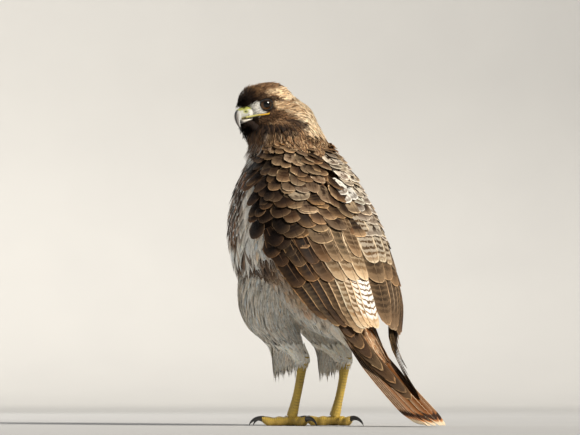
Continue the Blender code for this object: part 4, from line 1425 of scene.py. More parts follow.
def hock_cuff(material, side, seed):
    """Short feathers over the hock, that cover the top of the bare leg."""
    draw = np.random.default_rng(seed)
    count = 620
    share = draw.uniform(0.70, 0.985, count)
    turn = draw.uniform(0, math.tau, count)
    long = draw.uniform(12, 17, count)
    stations = 5
    t = np.linspace(0, 1, stations)
    lines = np.zeros((count, stations, 3))
    foot = np.array(FOOT_ROOT, float)
    end = np.array(THIGH[-1][:3], float)
    down = unit(foot - np.array(ANKLE, float))
    way = np.stack((np.sin(turn), -np.cos(turn), np.zeros(count)), axis=1)
    for i in range(stations):
        s = share + long * t[i] / 150
        part = spline(THIGH, np.minimum(s, 1.0))
        past = np.maximum(s - 1.0, 0) * 150
        middle = part[:, :3] + down * past[:, None]
        radius = np.where(past > 0, 8.6, part[:, 3:5].max(axis=1) * 1.0 + 0.9) + 1.6 * t[i]
        lines[:, i] = middle + way * np.minimum(radius, part[:, 3] + 3.0)[:, None] * np.array((1.0, 1.0, 1.0))
        lines[:, i, 1] += np.where(past > 0, 0, -np.cos(turn) * (part[:, 4] - part[:, 3]))
    outs = np.repeat(way[:, None], stations, axis=1)
    streak = draw.random(count)
    if side < 0:
        lines, outs = mirror(lines), mirror(outs)
    coat = Coat()
    places = np.stack((0.04 + 0.92 * turn / math.tau, 0.04 + 0.92 * share), axis=1)
    tint = mix(PALEST, CREAM, 0.1 + 0.3 * streak)
    coat.add(lines, outs, draw.uniform(1.1, 1.9, count), vary(tint, draw, 0.1), vary(tint, draw, 0.1), (0, 0.3, 0, 0), places)
    name = "left" if side > 0 else "right"
    shape = {"columns": 4, "rows": 5, "round": 0.3, "blunt": 0.3, "tip_width": 0.12, "ragged": 0.08, "camber": 0.2}
    return build_coat("plumage_hock_" + name, coat, material, "thigh_" + name, seed + 1, **shape)


def mantle_coat(body, material):
    """Small rounded feathers between the neck and the wings, and down the back as far as it shows."""
    draw = np.random.default_rng(41)
    points, normals = surface_samples(body.mesh, 90000, draw)
    ahead = normals[:, 1] > -0.25
    keep = ahead & (points[:, 2] < 366) & (points[:, 2] > 110)
    points, normals = points[keep], normals[keep]
    gaps = 5.0 + 3.5 * ramp(points[:, 2], 350, 300)
    kept = spread_out(points, gaps)
    kept = kept[np.array([not body.hidden(points[i], normals[i]) for i in kept])]
    points, normals = points[kept], normals[kept]
    count = len(points)
    size = ramp(points[:, 2], 356, 310)
    long = (14 + 12 * size) * draw.uniform(0.9, 1.1, count)
    lifts = np.stack((np.full(count, -0.8), draw.uniform(2.0, 3.2, count)), axis=1)
    lines, outs = body.lines(points, long, lifts, 6, draw.normal(0, 0.1, count))
    tint, edge = body_colours(lines[:, 3], normals, draw)
    clear = body.clear_of_wings(lines, 5.0) | (points[:, 2] > 318)
    parts = (lines, outs, 3.6 + 4.2 * size, vary(tint, draw, 0.14), vary(edge, draw, 0.1))
    coat = Coat()
    coat.add(*(part[clear] for part in parts), (0.0, 0.16, 0.0, 0.15), body_patch(points[clear], "body"))
    return build_coat("plumage_mantle", coat, material, "torso", 42, ragged=0.03, tip_width=0.8, camber=0.2)


# Wings


def wing_marks(u, v, side, draw):
    """Colours and marks of the small feathers on a wing: dark scales with pale rims, white-mottled inside, near black
    towards the front edge, partly as painted shade.
    """
    count = len(u)
    streak = draw.random(count)
    front = ramp(v, 0.50, 0.16)
    cloud = noise(np.stack((u * 376, v * 150, 0 * u + 50 * side), axis=1), 22, 4)
    tint = mix(DARK, BROWN, 0.85 * streak)
    # Painted shade, partly real: towards the wing's front edge the scales go near black, the dark lesser coverts
    # darkened further as shade.
    tint = mix(tint, mix(BLACKISH, DARK, 0.4 * streak), front)
    shoulder = ramp(u, 0.14, 0.03) * ramp(v, 0.15, 0.5)
    tint = mix(tint, mix(BROWN, WARM, streak), shoulder * 0.9)
    # The rims also darken towards the front edge, partly as painted shade.
    edge = mix(mix(GOLD, BUFF, streak), mix(BLACKISH, BROWN, streak), front * 0.9)
    edge = mix(edge, GOLD, shoulder * 0.5)
    edge = mix(edge, mix(WARM, TAN, streak), 0.7 * (draw.random(count) < 0.3))
    rim = 0.11 + 0.07 * draw.random(count)
    inner = ramp(v, 0.34, 0.58) * ramp(u, 0.08, 0.16) * ramp(u, 0.60, 0.50)
    if side < 0:
        white = inner * ramp(cloud, 0.36, 0.48) * draw.uniform(0.45, 0.95, count)
        edge = mix(edge, mix(CREAM, WHITE, streak), np.clip(inner * 0.5 + white * 0.5, 0, 1))
        rim = rim + white * draw.uniform(0.02, 0.28, count)
    else:
        place = ((u - 0.325) / 0.03) ** 2 + ((v - 0.50) / 0.07) ** 2
        white = np.exp(-place) * draw.uniform(0.5, 1.0, count)
        white = np.maximum(white, inner * ramp(cloud, 0.64, 0.74) * 0.2)
        edge = mix(edge, mix(CREAM, WHITE, streak), white)
    marks = np.stack((0.06 * draw.random(count), rim, white, 0.10 + 0.2 * draw.random(count)), axis=1)
    return vary(tint, draw, 0.22), vary(edge, draw, 0.14), marks


SCALE_ROWS = 16
SCALE_FIRST = 0.035
SCALE_LAST = 0.53


def scale_feathers(side, seed):
    """Rows of scapulars and lesser coverts, small at the shoulder and large down the wing."""
    draw = np.random.default_rng(seed)
    coat = Coat()
    for row in range(SCALE_ROWS):
        share = row / (SCALE_ROWS - 1)
        tip = SCALE_FIRST + (SCALE_LAST - SCALE_FIRST) * share ** 1.12
        gap = 8.0 + 13.5 * share
        count = max(int(wing_width(tip) / gap), 4)
        v = (np.arange(count + 1) + 0.5 * (row % 2)) / count
        v = v[v < 1.05]
        count = len(v)
        v = np.minimum(v - 0.012 + draw.normal(0, 0.16, count) / count, 1.0)
        small = 0.70 + 0.30 * ramp(v, 0.05, 0.42)
        u = tip + draw.normal(0, 0.007 + 0.007 * share, count) + 0.012 * np.sin(5 * v + row)
        long = (17 + 26 * share) * small * draw.uniform(0.88, 1.25, count) / 376
        drift = 0.16 * ramp(v, 1.0, 0.45) * ramp(u, 0.5, 0.15)
        drift = drift + draw.normal(0, 0.038, count)
        starts = np.stack((u - long, v + drift), axis=1)
        ends = np.stack((u, v - drift * 0.2), axis=1)
        starts[:, 0] = np.maximum(starts[:, 0], 0.004)
        lifts = np.stack((np.full(count, -2.6), 3.1 + draw.normal(0, 0.65, count)), axis=1)
        lines, outs = wing_lines(starts, ends, lifts, side)
        tint, edge, marks = wing_marks(u, v, side, draw)
        widths = gap * 0.74 * small * draw.uniform(0.85, 1.2, count)
        coat.add(lines, outs, widths, tint, edge, marks, wing_patch(u, v, side))
    return coat


# Larger feathers in ranks: name, how many, roots and tips as (u, v) at the front and back, half widths, and lifts at
# root and tip
RANKS = (
    ("primary", 7, (0.50, 0.34), (0.50, 0.10), (0.835, 0.30), (1.0, 0.50), (11.5, 9.0), (-4.0, -1.5)),
    ("secondary", 9, (0.45, 0.06), (0.46, 0.93), (0.775, 0.06), (0.815, 0.94), (11.5, 14.0), (-1.6, 1.4)),
    ("tertial", 6, (0.42, 0.08), (0.42, 0.94), (0.635, 0.06), (0.685, 0.94), (12.5, 16.5), (-1.8, 2.6)),
    ("median", 7, (0.38, 0.07), (0.38, 0.94), (0.57, 0.05), (0.60, 0.94), (10.5, 13.5), (-2.0, 2.5)),
)


def flight_feathers(side, seed, rank):
    """One rank of the wing's large feathers, the inner ones lying over the outer ones."""
    name, count, root_a, root_b, tip_a, tip_b, widths, lifts = RANKS[rank]
    draw = np.random.default_rng(seed + 7 * rank)
    share = np.linspace(0, 1, count)
    roots = mix(root_a, root_b, share)
    tips = mix(tip_a, tip_b, share)
    tips[:, 0] += draw.normal(0, 0.009, count)
    step = 1.5 * share
    if name == "primary":
        step = -1.45 * (count - 1) * share
    if name == "secondary":
        tips[:, 0] += 0.035 * np.sin(share * math.pi)
    if name in ("tertial", "median"):
        tips[:, 0] += 0.03 * np.sin(share * math.pi)
    rises = np.stack((np.full(count, lifts[0]) + step * 0.8, np.full(count, lifts[1]) + step), axis=1)
    lines, outs = wing_lines(roots, tips, rises, side, 16)
    streak = draw.random(count)
    pale = ramp(share, 0.30, 0.75) if name != "primary" else np.zeros(count)
    if side < 0 and name != "median":
        pale = pale * 0.25
    if name == "median":
        pale = pale * 0.45
    white = 0.30 * ramp(share, 0.35, 0.7) * (name == "median") * (side < 0)
    tint = mix(mix(BLACKISH, BROWN, 0.2), mix(TAN, GOLD, 0.1 + 0.5 * streak), pale)
    edge = mix(mix(WARM, GOLD, streak), mix(GOLD, CREAM, 0.7), pale)
    bright = ramp(share, 0.66, 0.9) * (name == "secondary") * (side > 0)
    bars = (0.06 + 0.44 * pale + 0.5 * bright) * draw.uniform(0.7, 1.1, count)
    rim = 0.11 + 0.06 * pale
    if name in ("tertial", "median"):
        bars = bars * 0.75
    edge = mix(edge, CREAM, white * 1.5)
    rim = rim + white * 0.4
    marks = np.stack((bars + white, rim, bright * draw.uniform(0.6, 1.0, count) + white, 0.1 + 0.45 * pale), axis=1)
    coat = Coat()
    half = widths[0] + (widths[1] - widths[0]) * share
    coat.add(lines, outs, half, vary(tint, draw, 0.08), vary(edge, draw, 0.06), marks, wing_patch(tips[:, 0], tips[:, 1], side))
    return coat


def shafts(coat, name, material, slot, rise=0.22, half_width=0.55, dark=0.45):
    """A thin raised quill along each of the coat's feathers."""
    lines, outs, widths, tints, edges, marks, places = coat.arrays()
    quills = Coat()
    fade = np.linspace(1.0, 0.55, lines.shape[1])[None, :, None]
    tone = mix(edges, DARK, np.full(len(lines), dark))
    quills.add(lines[:, :] + outs * rise * fade, outs, np.full(len(lines), half_width), tone, tone, marks * 0, places)
    return build_coat(name, quills, material, slot, 5, columns=3, rows=18, blunt=0.1, tip_width=0.12, round=0.02, camber=0.5)


# Tail

TAIL_PAIRS = 6
TAIL_HALF_WIDTH = 11.5
TAIL_SPREAD = 30


def tail_feathers(draw):
    """Twelve folded tail feathers, the middle pair on top, as two sheets: upper colours and paler under ones."""
    stations = 22
    t = np.linspace(0, 1, stations)
    upper, under = Coat(), Coat()
    for i in range(TAIL_PAIRS * 2):
        side = 1 if i % 2 == 0 else -1
        rank = i // 2
        outer = rank / (TAIL_PAIRS - 1)
        point, up = tail_curve(0.10 + (0.90 - 0.012 * rank) * t)
        spread = (TAIL_SPREAD - 2 * TAIL_HALF_WIDTH) * outer + 4 * outer * t
        offset = side * (TAIL_HALF_WIDTH - 4.5 * (rank == 0) + spread)
        if i == 1:
            offset = np.full(stations, -3.0)
        height = 2.3 - 1.1 * rank + (1.2 if i == 1 else 0.0)
        line = point + up * height
        line[:, 0] += offset
        line[:, 2] = np.maximum(line[:, 2], 0.5 + 0.12 * (TAIL_PAIRS - rank))
        tone = vary(np.array([RUFOUS]), draw, 0.07)
        pale = vary(np.array([mix(BUFF, WHITE, 0.4)]), draw, 0.05)
        place = np.array([[0.08 + 0.07 * i, 0.5]])
        upper.add(line[None], up[None], TAIL_HALF_WIDTH, tone, (CREAM,), (0.0, 0.035, 0, 0), place)
        below = line - up * 0.35
        under.add(below[None], up[None], TAIL_HALF_WIDTH * 0.98, pale, (WHITE,), (0, 0.05, 0, 0), place)
    return upper, under


def tail_coverts(material, under, seed):
    """Feathers over the tail's root: rufous, brown and white above, soft white below."""
    draw = np.random.default_rng(seed)
    rows = 9 if not under else 11
    coat = Coat()
    for row in range(rows):
        share = row / (rows - 1)
        count = 9 + (row % 2)
        start = -0.02 + 0.30 * share
        half = 31 - 13 * share
        x = np.linspace(-1, 1, count) + draw.normal(0, 0.04, count)
        long = (0.19 if not under else 0.20) * draw.uniform(0.9, 1.1, count)
        t = np.linspace(0, 1, 7)
        s = np.maximum(start + long[:, None] * t, 0)
        point, up = tail_curve(s)
        root_rise = (21 - 19 * np.clip(s / 0.42, 0, 1)) if not under else -(27 - 26 * np.clip(s / 0.42, 0, 1))
        arch = np.sqrt(np.maximum(1 - (x * 0.92) ** 2, 0.02))[:, None]
        lift = (1.0 + 2.4 * t) * (1 if not under else -1)
        line = point + up * (root_rise * arch + lift)[..., None]
        line[..., 0] += (half * 0.98 * x)[:, None] * (1 - 0.25 * t)
        line[..., 2] = np.maximum(line[..., 2], 4.0)
        way = unit(up * arch[..., None] * (1 if not under else -1) + np.array((1.0, 0, 0)) * (0.9 * x)[:, None, None])
        streak = draw.random(count)
        if under:
            tint, edge = mix(WHITE, CREAM, streak), mix(WHITE, CREAM, streak * 0.5)
        else:
            tint = mix(mix(BROWN, RUFOUS, 0.3 + 0.7 * streak), mix(RUFOUS, CREAM, streak * 0.5), share)
            edge = mix(TAN, CREAM, streak)
        places = np.stack((0.5 + 0.45 * x, np.full(count, 0.05 + 0.9 * share)), axis=1)
        coat.add(line, way, 7.5, vary(tint, draw, 0.1), vary(edge, draw, 0.08), (0.1, 0.2, 0, 0.3), places)
    name = "plumage_under_tail" if under else "plumage_rump"
    return build_coat(name, coat, material, "tail", seed + 1, ragged=0.07, tip_width=0.4, camber=0.2)


# Eyes, lids, bill


def eye_frame(side):
    looks = unit(AHEAD * EYE_LOOKS[0] + LEFT * side * EYE_LOOKS[1])
    up = unit(UP - looks * dot(UP, looks))
    return head_point(0, EYE_OUT * side, 0), looks, up, np.cross(looks, up)


def eye_ball(side, material):
    """An eyeball with a bulging cornea over a brown iris, painted dark at the top as the brow's shade and amber below,
    and a round pupil.
    """
    centre, looks, up, across = eye_frame(side)
    rings, sides = 90, 72
    angle = np.linspace(0, math.pi, rings)[:, None]
    turn = np.linspace(0, math.tau, sides, endpoint=False)[None, :]
    radius = EYE_RADIUS * np.sin(angle)
    bulge = 1.1 * np.clip(1 - (radius / 7.4) ** 2, 0, 1) * (angle < 1.5)
    length = EYE_RADIUS + bulge
    way = across * np.cos(turn)[..., None] + up * np.sin(turn)[..., None]
    points = centre + (looks * np.cos(angle)[..., None] + way * np.sin(angle)[..., None]) * length[..., None]
    fibres = 0.5 + 0.5 * np.sin(turn * 41 + 3 * np.sin(turn * 7)) * np.sin(radius * 2.1)
    # Painted shade: the iris is darkest at the top, under the brow, and amber towards the lower side.
    low = ramp(0.75 * side * np.cos(turn) - 0.65 * np.sin(turn) + 0 * radius, 0.0, 0.95)
    iris = mix((0.014, 0.007, 0.004), (0.21, 0.095, 0.035), low * 0.75 + 0.10 * fibres)
    iris = mix((0.008, 0.005, 0.005), iris, ramp(radius + 0 * turn, 7.3, 6.2))
    tint = mix((0.002, 0.002, 0.002), iris, ramp(radius + 0 * turn, 3.7, 4.2))
    tint = mix(tint, (0.012, 0.010, 0.010), (angle > 1.3) + 0 * turn)
    faces = []
    for i in range(rings - 1):
        for j in range(sides):
            k = (j + 1) % sides
            faces.append([i * sides + j, (i + 1) * sides + j, (i + 1) * sides + k, i * sides + k])
    name = "left" if side > 0 else "right"
    piece = make_piece("eyeball_" + name, points.reshape(-1, 3), faces, material, tint.reshape(-1, 3))
    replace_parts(piece, "eye_" + name)
    return piece


def lids(side, material):
    """The dark bare rim round the eye, flatter above, with small folds in it."""
    centre, looks, up, across = eye_frame(side)
    sides, steps = 72, 12
    turn = np.linspace(0, math.tau, sides, endpoint=False)
    above = np.sin(turn) > 0
    high = np.where(above, LID_OPENING[1] * 0.76, LID_OPENING[1] * 1.0)
    power = np.where(above, 2.6, 2.0)
    opening = (np.abs(np.cos(turn) / LID_OPENING[0]) ** power + np.abs(np.sin(turn) / high) ** power) ** (-1 / power)
    spread = np.radians(10 + 9 * np.maximum(np.sin(turn), 0) + 5 * np.abs(np.cos(turn)) ** 4)
    inner = np.arcsin(np.clip(opening / 9.9, 0, 0.99))
    rings = []
    tints = []
    for step in np.linspace(0, 1, steps):
        angle = inner + spread * step
        rise = 9.65 + 0.85 * math.sin(math.pi * min(step * 0.8 + 0.08, 1)) + 0.3 * step
        rise = rise + 0.05 * np.sin(turn * 34 + step * 9) * math.sin(math.pi * step)
        way = across * np.cos(turn)[:, None] + up * np.sin(turn)[:, None]
        rings.append(centre + (looks * np.cos(angle)[:, None] + way * np.sin(angle)[:, None]) * rise[:, None])
        low = ramp(np.sin(turn), -0.2, -0.7) * ramp(step, 0.45, 0.9)
        edge = mix((0.010, 0.008, 0.008), (0.030, 0.024, 0.020), np.full(sides, ramp(step, 0.5, 1.0)))
        edge = mix(edge, (0.34, 0.30, 0.22), low * 0.8)
        tints.append(edge)
    points = np.concatenate(rings)
    faces = []
    for i in range(steps - 1):
        for j in range(sides):
            k = (j + 1) % sides
            faces.append([i * sides + j, (i + 1) * sides + j, (i + 1) * sides + k, i * sides + k])
    name = "left" if side > 0 else "right"
    return make_piece("lids_" + name, points, faces, material, np.concatenate(tints))


def cere(material):
    """Yellow-green skin at the bill's base, with a nostril in each side."""
    count, sides = 46, 72
    share = np.linspace(0, 1, count)
    x, half_width, top, bottom = spline(CERE[:-1] + CERE_LIP, share).T
    swell = 1 + 0.05 * np.sin(share * math.pi)
    path = head_point(0, 0, 0) + np.outer(x, AHEAD) + np.outer((top + bottom) / 2, UP)
    across = np.repeat(LEFT[None], count, axis=0)
    up = np.repeat(UP[None], count, axis=0)
    points, faces = tube_grid(path, across, up, half_width * swell, (top - bottom) / 2 * swell, sides, 2.3)
    a, l, u = in_head(points)
    near = np.sqrt(((a - NOSTRIL[0]) / 1.15) ** 2 + ((u - NOSTRIL[1]) / 0.85) ** 2)
    pit = ramp(near, 1.35, 0.7)
    rim = ramp(near, 2.6, 1.5) * (1 - pit)
    points = points - LEFT * (np.sign(l) * (1.5 * pit - 0.25 * rim))[:, None]
    tint = mix((0.62, 0.62, 0.54), (0.50, 0.51, 0.12), ramp(u, -3.4, -1.6))
    tint = mix(tint, (0.50, 0.52, 0.15), ramp(near, 3.4, 2.0) * 0.9)
    tint = mix(tint, (0.64, 0.56, 0.18), ramp(u, -10.4, -11.8))
    # Painted shade: the nostril's opening is near black, deeper than the shallow pit that is modelled.
    tint = mix(tint, (0.012, 0.010, 0.008), pit)
    return make_piece("cere_skin", points, faces, material, tint)


def gape(side, material):
    """The bright yellow fold of the mouth's corner, from the cere to under the eye."""
    marks = [
        head_point(26.0, 7.2 * side, -12.0),
        head_point(22.0, 10.2 * side, -11.8),
        on_cheek(16.5, side, -11.6, 1.2),
        on_cheek(12, side, -11.7, 0.55),
        on_cheek(8, side, -11.9, 0.35),
        on_cheek(4, side, -12.1, 0.30),
        on_cheek(1.8, side, -11.8, 0.1),
        on_cheek(0.2, side, -10.9, -0.5),
    ]
    path = spline(marks, np.linspace(0, 1, 40))
    share = np.linspace(0, 1, 40)
    size = 1.15 - 0.25 * share
    size = size * np.minimum(1, (1 - share) * 6 + 0.15)
    across, up = frames_along(path, LEFT * side)
    points, faces = tube_grid(path, across, up, size, size * 0.72, 14)
    a, l, u = in_head(points)
    tint = mix((0.84, 0.48, 0.03), (0.66, 0.62, 0.20), ramp(a, 9, 17))
    name = "left" if side > 0 else "right"
    return make_piece("gape_" + name, points, faces, material, tint)


def upper_bill(material):
    """The hooked upper bill, pale at its base and black along its ridge and at its tip."""
    count, sides = 60, 40
    share = np.linspace(0, 1, count)
    ridge = spline(BILL_RIDGE, share)
    edge = spline(BILL_EDGE, share)
    half_width = spline(BILL_HALF_WIDTHS, share)[:, 0]
    start = ridge[:, :1] * AHEAD + ridge[:, 1:] * UP
    end = edge[:, :1] * AHEAD + edge[:, 1:] * UP
    notch = 0.5 * np.exp(-(((share - 0.32) / 0.10) ** 2))
    end = end - unit(start - end) * notch[:, None]
    middle = (start + end) / 2 + np.array(EYE_LINE)
    up = unit(start - end)
    across = np.repeat(LEFT[None], count, axis=0)
    points, faces = tube_grid(middle, across, up, half_width, np.linalg.norm(start - end, axis=1) / 2, sides, 2.15)
    angles = np.linspace(0, math.tau, sides, endpoint=False)
    on_ridge = np.broadcast_to(ramp(np.cos(angles), 0.91, 0.99), (count, sides)).reshape(-1)
    along = np.repeat(share, sides)
    tint = mix((0.70, 0.70, 0.64), (0.60, 0.61, 0.60), ramp(along, 0.05, 0.45))
    toward_ridge = np.broadcast_to(ramp(np.cos(angles), 0.0, 0.8), (count, sides)).reshape(-1)
    tint = mix(tint, (0.42, 0.31, 0.24), ramp(along, 0.15, 0.5) * toward_ridge * 0.5)
    tint = mix(tint, (0.030, 0.028, 0.028), ramp(along, 0.80, 0.97))
    tint = mix(tint, (0.02, 0.02, 0.022), on_ridge * ramp(along, -0.05, 0.08))
    return make_piece("bill_hook", points, faces, material, tint)


def lower_bill(material):
    count = 40
    share = np.linspace(0, 1, count)
    x, z, half_width, half_depth = spline(LOWER_BILL, share).T
    path = head_point(0, 0, 0) + np.outer(x, AHEAD) + np.outer(z, UP)
    across = np.repeat(LEFT[None], count, axis=0)
    up = np.repeat(UP[None], count, axis=0)
    points, faces = tube_grid(path, across, up, half_width, half_depth, 32, 2.1)
    a = in_head(points)[0]
    tint = mix((0.66, 0.62, 0.52), (0.62, 0.58, 0.52), ramp(a, 20, 27))
    tint = mix(tint, (0.05, 0.05, 0.055), ramp(a, 28, 31.5))
    return make_piece("bill_scoop", points, faces, material, tint)


# Feet


def toe_line(length, thick):
    """Distance along, height of the middle and radius, from the foot's root to the claw."""
    return (
        (-2, 6.6, thick + 1.2),
        (length * 0.26, 5.6, thick * 0.92),
        (length * 0.45, 5.4, thick * 1.08),
        (length * 0.62, 4.9, thick * 0.88),
        (length * 0.80, 5.2, thick),
        (length * 0.92, 6.6, thick * 0.84),
        (length, 8.2, thick * 0.62),
    )


SCUTE = 2.7


def scaly(points, middle, along, above, depth, size=SCUTE):
    """Raises overlapping plates on the upper side of a limb, and gives the seams between them."""
    saw = (along / size) % 1.0
    plate = (0.35 + 0.65 * saw) * above
    out = unit(points - middle)
    seam = ramp(np.abs(saw - 0.5), 0.36, 0.5) * above
    return points + out * (depth * plate)[:, None], seam


def toe(name, side, material):
    degrees, length, thick, bend = TOES[name]
    turn = math.radians(degrees)
    way = np.array((math.sin(turn), -math.cos(turn), 0.0))
    base = np.array((FOOT_ROOT[0], FOOT_ROOT[1], 0.0))
    count, sides = 90, 28
    line = spline(toe_line(length, thick), np.linspace(0, 1, count))
    path = base + np.outer(line[:, 0], way) + np.outer(line[:, 1], (0, 0, 1))
    across = np.repeat(np.cross(way, (0, 0, 1))[None], count, axis=0)
    up = np.repeat(np.array(((0.0, 0.0, 1.0),)), count, axis=0)
    points, faces = tube_grid(path, across, up, line[:, 2] * 0.97, line[:, 2] * 0.92, sides, 2.1)
    middle = np.repeat(path, sides, axis=0)
    along = np.repeat(line[:, 0], sides)
    above = ramp(unit(points - middle)[:, 2], 0.15, 0.6)
    points, seam = scaly(points, middle, along, above, 0.42)
    points[:, 2] = np.maximum(points[:, 2], 0.06)
    tint = mix((0.66, 0.45, 0.07), (0.50, 0.33, 0.06), 1 - above)
    tint = mix(tint, (0.16, 0.09, 0.02), seam * 0.75)
    if side < 0:
        points = mirror(points)
        faces = [face[::-1] for face in faces]
    foot = "left" if side > 0 else "right"
    piece = make_piece("toe_" + foot + "_" + name, points, faces, material, tint)
    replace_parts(piece, "foot_" + foot)
    return piece


def claw(name, side, material):
    """A curved talon, thick and ridged above, drawn out to a point that just touches the floor."""
    degrees, length, thick, bend = TOES[name]
    turn = math.radians(degrees)
    way = np.array((math.sin(turn), -math.cos(turn), 0.0))
    base = np.array((FOOT_ROOT[0], FOOT_ROOT[1], 0.0))
    count, sides = 34, 20
    share = np.linspace(0, 1, count)
    heading = np.radians(22 - 90 * share)
    start = math.radians(22)
    root_height = toe_line(length, thick)[-1][1]
    along = length + bend * (math.sin(start) - np.sin(heading)) - 1.5
    height = root_height + bend * (np.cos(heading) - math.cos(start)) * 0.985
    path = base + np.outer(along, way) + np.outer(height, (0, 0, 1))
    forward = np.outer(np.cos(heading), way) + np.outer(np.sin(heading), (0, 0, 1))
    across = np.repeat(np.cross(way, (0, 0, 1))[None], count, axis=0)
    up = np.cross(across, forward)
    radius = CLAW_THICK * (1 - share) ** 0.75 + 0.12
    points, faces = tube_grid(path, across, up, radius * 0.80, radius, sides, 2.0)
    points[:, 2] = np.maximum(points[:, 2], 0.06)
    tint = mix((0.035, 0.033, 0.033), (0.012, 0.012, 0.013), np.repeat(share, sides))
    if side < 0:
        points = mirror(points)
        faces = [face[::-1] for face in faces]
    foot = "left" if side > 0 else "right"
    node = "claw_" + foot + "_" + name
    piece = make_piece("talon_" + foot + "_" + name, points, faces, material, tint)
    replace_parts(piece, node)
    return piece


def shank(side, material):
    """The bare lower leg, with broad plates down its front and small ones behind."""
    count, sides = 110, 40
    share = np.linspace(0, 1, count)
    top, foot = np.array(ANKLE, float), np.array(FOOT_ROOT, float)
    path = top + np.outer(share, foot - top)
    path[:, 1] += 2.0 * np.sin(math.pi * share)
    radius = spline(SHANK_RADII, share)[:, 0]
    across = np.repeat(np.array(((1.0, 0, 0),)), count, axis=0)
    along_way = unit(np.gradient(path, axis=0))
    up = np.cross(across, along_way)
    points, faces = tube_grid(path, across, up, radius * 0.94, radius, sides, 2.0)
    middle = np.repeat(path, sides, axis=0)
    along = np.repeat(share * np.linalg.norm(foot - top), sides)
    facing = unit(points - middle)
    front = ramp(-facing[:, 1], 0.25, 0.55)
    behind = ramp(facing[:, 1], 0.35, 0.65)
    points, seam = scaly(points, middle, along, front, 0.45, 4.6)
    points, seam_behind = scaly(points, middle, along, behind, 0.35, 3.6)
    tint = mix((0.64, 0.44, 0.07), (0.52, 0.36, 0.08), noise(points, 6, 3))
    tint = mix(tint, (0.17, 0.10, 0.03), np.maximum(seam, seam_behind) * 0.7)
    if side < 0:
        points = mirror(points)
        faces = [face[::-1] for face in faces]
    name = "left" if side > 0 else "right"
    piece = make_piece("lower_leg_" + name, points, faces, material, tint)
    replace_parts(piece, "shank_" + name)
    return piece


# Camera, floor and light


def direction(azimuth, elevation):
    a, e = math.radians(azimuth), math.radians(elevation)
    return Vector((math.sin(a) * math.cos(e), -math.cos(a) * math.cos(e), math.sin(e)))


def set_camera():
    camera = bpy.data.cameras.new("camera")
    camera.sensor_width = 36
    camera.lens = camera.sensor_width * CAMERA_DISTANCE / VIEW_WIDTH
    camera.clip_end = 30
    made = bpy.data.objects.new("camera", camera)
    bpy.context.scene.collection.objects.link(made)
    back = direction(CAMERA_AZIMUTH, CAMERA_ELEVATION)
    made.location = Vector(to_row(AIM)) + back * CAMERA_DISTANCE * MM
    made.rotation_euler = back.to_track_quat("Z", "Y").to_euler()
    bpy.context.scene.camera = made


def soft_light(name, azimuth, elevation, distance, size, power, colour):
    lamp = bpy.data.lights.new(name, "AREA")
    lamp.shape = "DISK"
    lamp.size = size
    lamp.energy = power
    lamp.color = colour
    made = bpy.data.objects.new(name, lamp)
    bpy.context.scene.collection.objects.link(made)
    back = direction(azimuth, elevation)
    made.location = Vector((0, 0, 0.24)) + back * distance
    made.rotation_euler = back.to_track_quat("Z", "Y").to_euler()


def set_stage():
    """A pale floor that curves up into a low round wall, one soft key from the right and a weak fill."""
    profile = [(0.0, 0.0), (6.6, 0.0)]
    profile += [(6.6 + 1.4 * math.sin(a), 1.4 - 1.4 * math.cos(a)) for a in np.linspace(0.15, math.pi / 2, 10)]
    profile.append((8.0, 3.2))
    sides = 128
    turn = np.linspace(0, math.tau, sides, endpoint=False)
    shape = bmesh.new()
    middle = shape.verts.new((0, 0, 0))
    rings = [[shape.verts.new((r * math.cos(a), r * math.sin(a), z)) for a in turn] for r, z in profile[1:]]
    for j in range(sides):
        k = (j + 1) % sides
        shape.faces.new((middle, rings[0][j], rings[0][k]))
        for low, high in zip(rings, rings[1:]):
            shape.faces.new((low[j], high[j], high[k], low[k]))
    mesh = bpy.data.meshes.new("floor")
    shape.to_mesh(mesh)
    shape.free()
    mesh.shade_smooth()
    mesh.materials.append(floor_material())
    add_object("floor", mesh)
    world = bpy.data.worlds.new("studio")
    world.use_nodes = True
    world.node_tree.nodes["Background"].inputs[0].default_value = (0.93, 0.95, 1.0, 1)
    world.node_tree.nodes["Background"].inputs[1].default_value = 0.18
    bpy.context.scene.world = world
    bpy.context.scene.view_settings.view_transform = "Standard"
    sun = bpy.data.lights.new("key", "SUN")
    sun.angle = math.radians(16)
    sun.energy = 4.8
    sun.color = (1.0, 0.94, 0.84)
    made = bpy.data.objects.new("key", sun)
    bpy.context.scene.collection.objects.link(made)
    back = direction(CAMERA_AZIMUTH + 53, 30)
    made.rotation_euler = back.to_track_quat("Z", "Y").to_euler()
    soft_light("fill", CAMERA_AZIMUTH - 150, 30, 2.4, 1.6, 10, (1.0, 0.98, 0.95))


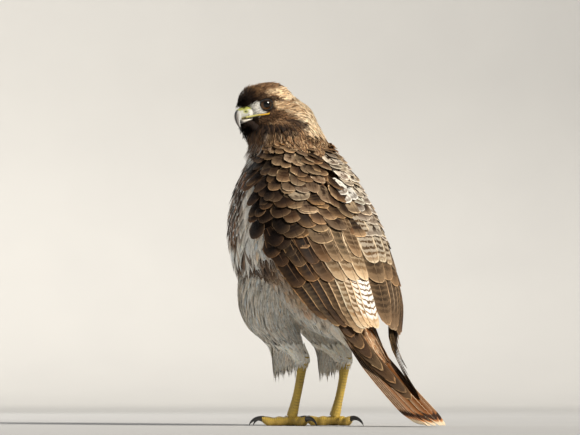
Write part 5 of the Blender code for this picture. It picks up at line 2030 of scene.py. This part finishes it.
def main():
    set_camera()
    set_stage()
    vane = vane_material("feather_vane")
    flight = vane_material("feather_flight", 0.5, 20.0, 150.0, 9.0, pale_bars=True)
    covert = vane_material("feather_covert", 0.5, 9.5, 110.0, 6.0, pale_bars=True)
    tail_vane = vane_material("feather_tail", 0.5, 11.0, 170.0, 10.0, band=True)
    tuft = tuft_material("feather_tuft")
    horn = horn_material("horn")
    leather = leather_material("leather")
    bare_skin = leather_material("skin_bare", 2400.0, 0.4, 0.10)

    skin = skin_mesh()
    body = Body(skin.data)
    draw = np.random.default_rng(1)
    head = ramp(body.points[:, 2], 352, 372)
    head_tint = head_colours(body.points, draw)[0]
    body_tint = body_colours(body.points, body.normals, draw)[0]
    # Painted shade: the skin takes the coat's colours darkened, to 0.8 on the body and 0.6 on the head, so the gaps
    # between feathers read as shade.
    painted_gap_shade = mix(body_tint * 0.8, head_tint * 0.6, head)
    # Painted shadow: skin close under a wing goes near black, turning brown towards the middle of the back.
    painted_wing_shadow = mix(mix(BLACKISH, DARK, 0.6), mix(BROWN, WARM, 0.5), ramp(np.abs(body.points[:, 0]), 30, 16))
    paint(skin.data, "tint", mix(painted_gap_shade, painted_wing_shadow, body.on_arm(body.points) * (1 - head)))
    skin.data.materials.clear()
    skin.data.materials.append(skin_material())
    skin.data.shade_smooth()
    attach(skin, "root")
    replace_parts(skin, "torso", "neck", "head", "thigh_left", "thigh_right")

    head_coat(body, tuft)
    lore_bristles(body, tuft)
    brow_feathers(tuft)
    forehead_feathers(tuft)
    beard_feathers(tuft)
    cere_bristles(tuft)
    body_coat(body, tuft)
    mantle_coat(body, vane)
    down_coat(
        body, "down_belly", tuft, "torso", 51, lambda p, n: (p[:, 2] < 235) & (p[:, 2] > 90) & (n[:, 1] < 0.5), 3.3, 18, 0.5, 0.1
    )
    for side, name in ((1, "left"), (-1, "right")):
        scales = scale_feathers(side, 60 + side)
        shape = {"columns": 11, "rows": 12, "round": 0.30, "blunt": 0.6, "tip_width": 0.86, "camber": 0.17}
        piece = build_coat("coverts_" + name, scales, vane, "wing_" + name, 61, roll=0.085 * side, ragged=0.012, **shape)
        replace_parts(piece, "wing_" + name)
        for rank in range(len(RANKS)):
            feathers = flight_feathers(side, 70 + side, rank)
            label = RANKS[rank][0] + "_" + name
            roll = 0.0 if rank == 0 else 0.085 * side
            shape = {"columns": 11, "rows": 26, "round": 0.10, "blunt": 0.84, "tip_width": 0.72, "camber": 0.10}
            if RANKS[rank][0] in ("tertial", "median"):
                shape.update({"round": 0.17, "blunt": 0.64, "tip_width": 0.86, "camber": 0.13})
            barred = covert if RANKS[rank][0] in ("tertial", "median") else flight
            build_coat("feathers_" + label, feathers, barred, "wing_" + name, 62, 0.02, roll=roll, ragged=0.006, **shape)
            shafts(feathers, "quills_" + label, tuft, "wing_" + name)
        trouser_tufts(tuft, side, 80 + side)
        hock_cuff(tuft, side, 84 + side)
    upper, under = tail_feathers(draw)
    shape = {"columns": 11, "rows": 30, "round": 0.07, "blunt": 0.90, "tip_width": 0.55, "camber": 0.04, "ragged": 0.004}
    piece = build_coat("feathers_tail", upper, tail_vane, "tail", 90, 0.02, **shape)
    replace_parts(piece, "tail")
    build_coat("feathers_tail_under", under, tail_vane, "tail", 90, 0.02, **shape)
    shafts(upper, "quills_tail", tuft, "tail", 0.3, 0.6, 0.05)
    tail_coverts(vane, False, 91)
    tail_coverts(tuft, True, 93)

    for side in (1, -1):
        eye_ball(side, eye_material())
        lids(side, bare_skin)
        gape(side, bare_skin)
        shank(side, leather)
        for name in TOES:
            toe(name, side, leather)
            claw(name, side, horn)
    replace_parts(cere(bare_skin), "cere")
    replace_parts(upper_bill(horn), "bill_upper")
    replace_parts(lower_bill(horn), "bill_lower")


main()
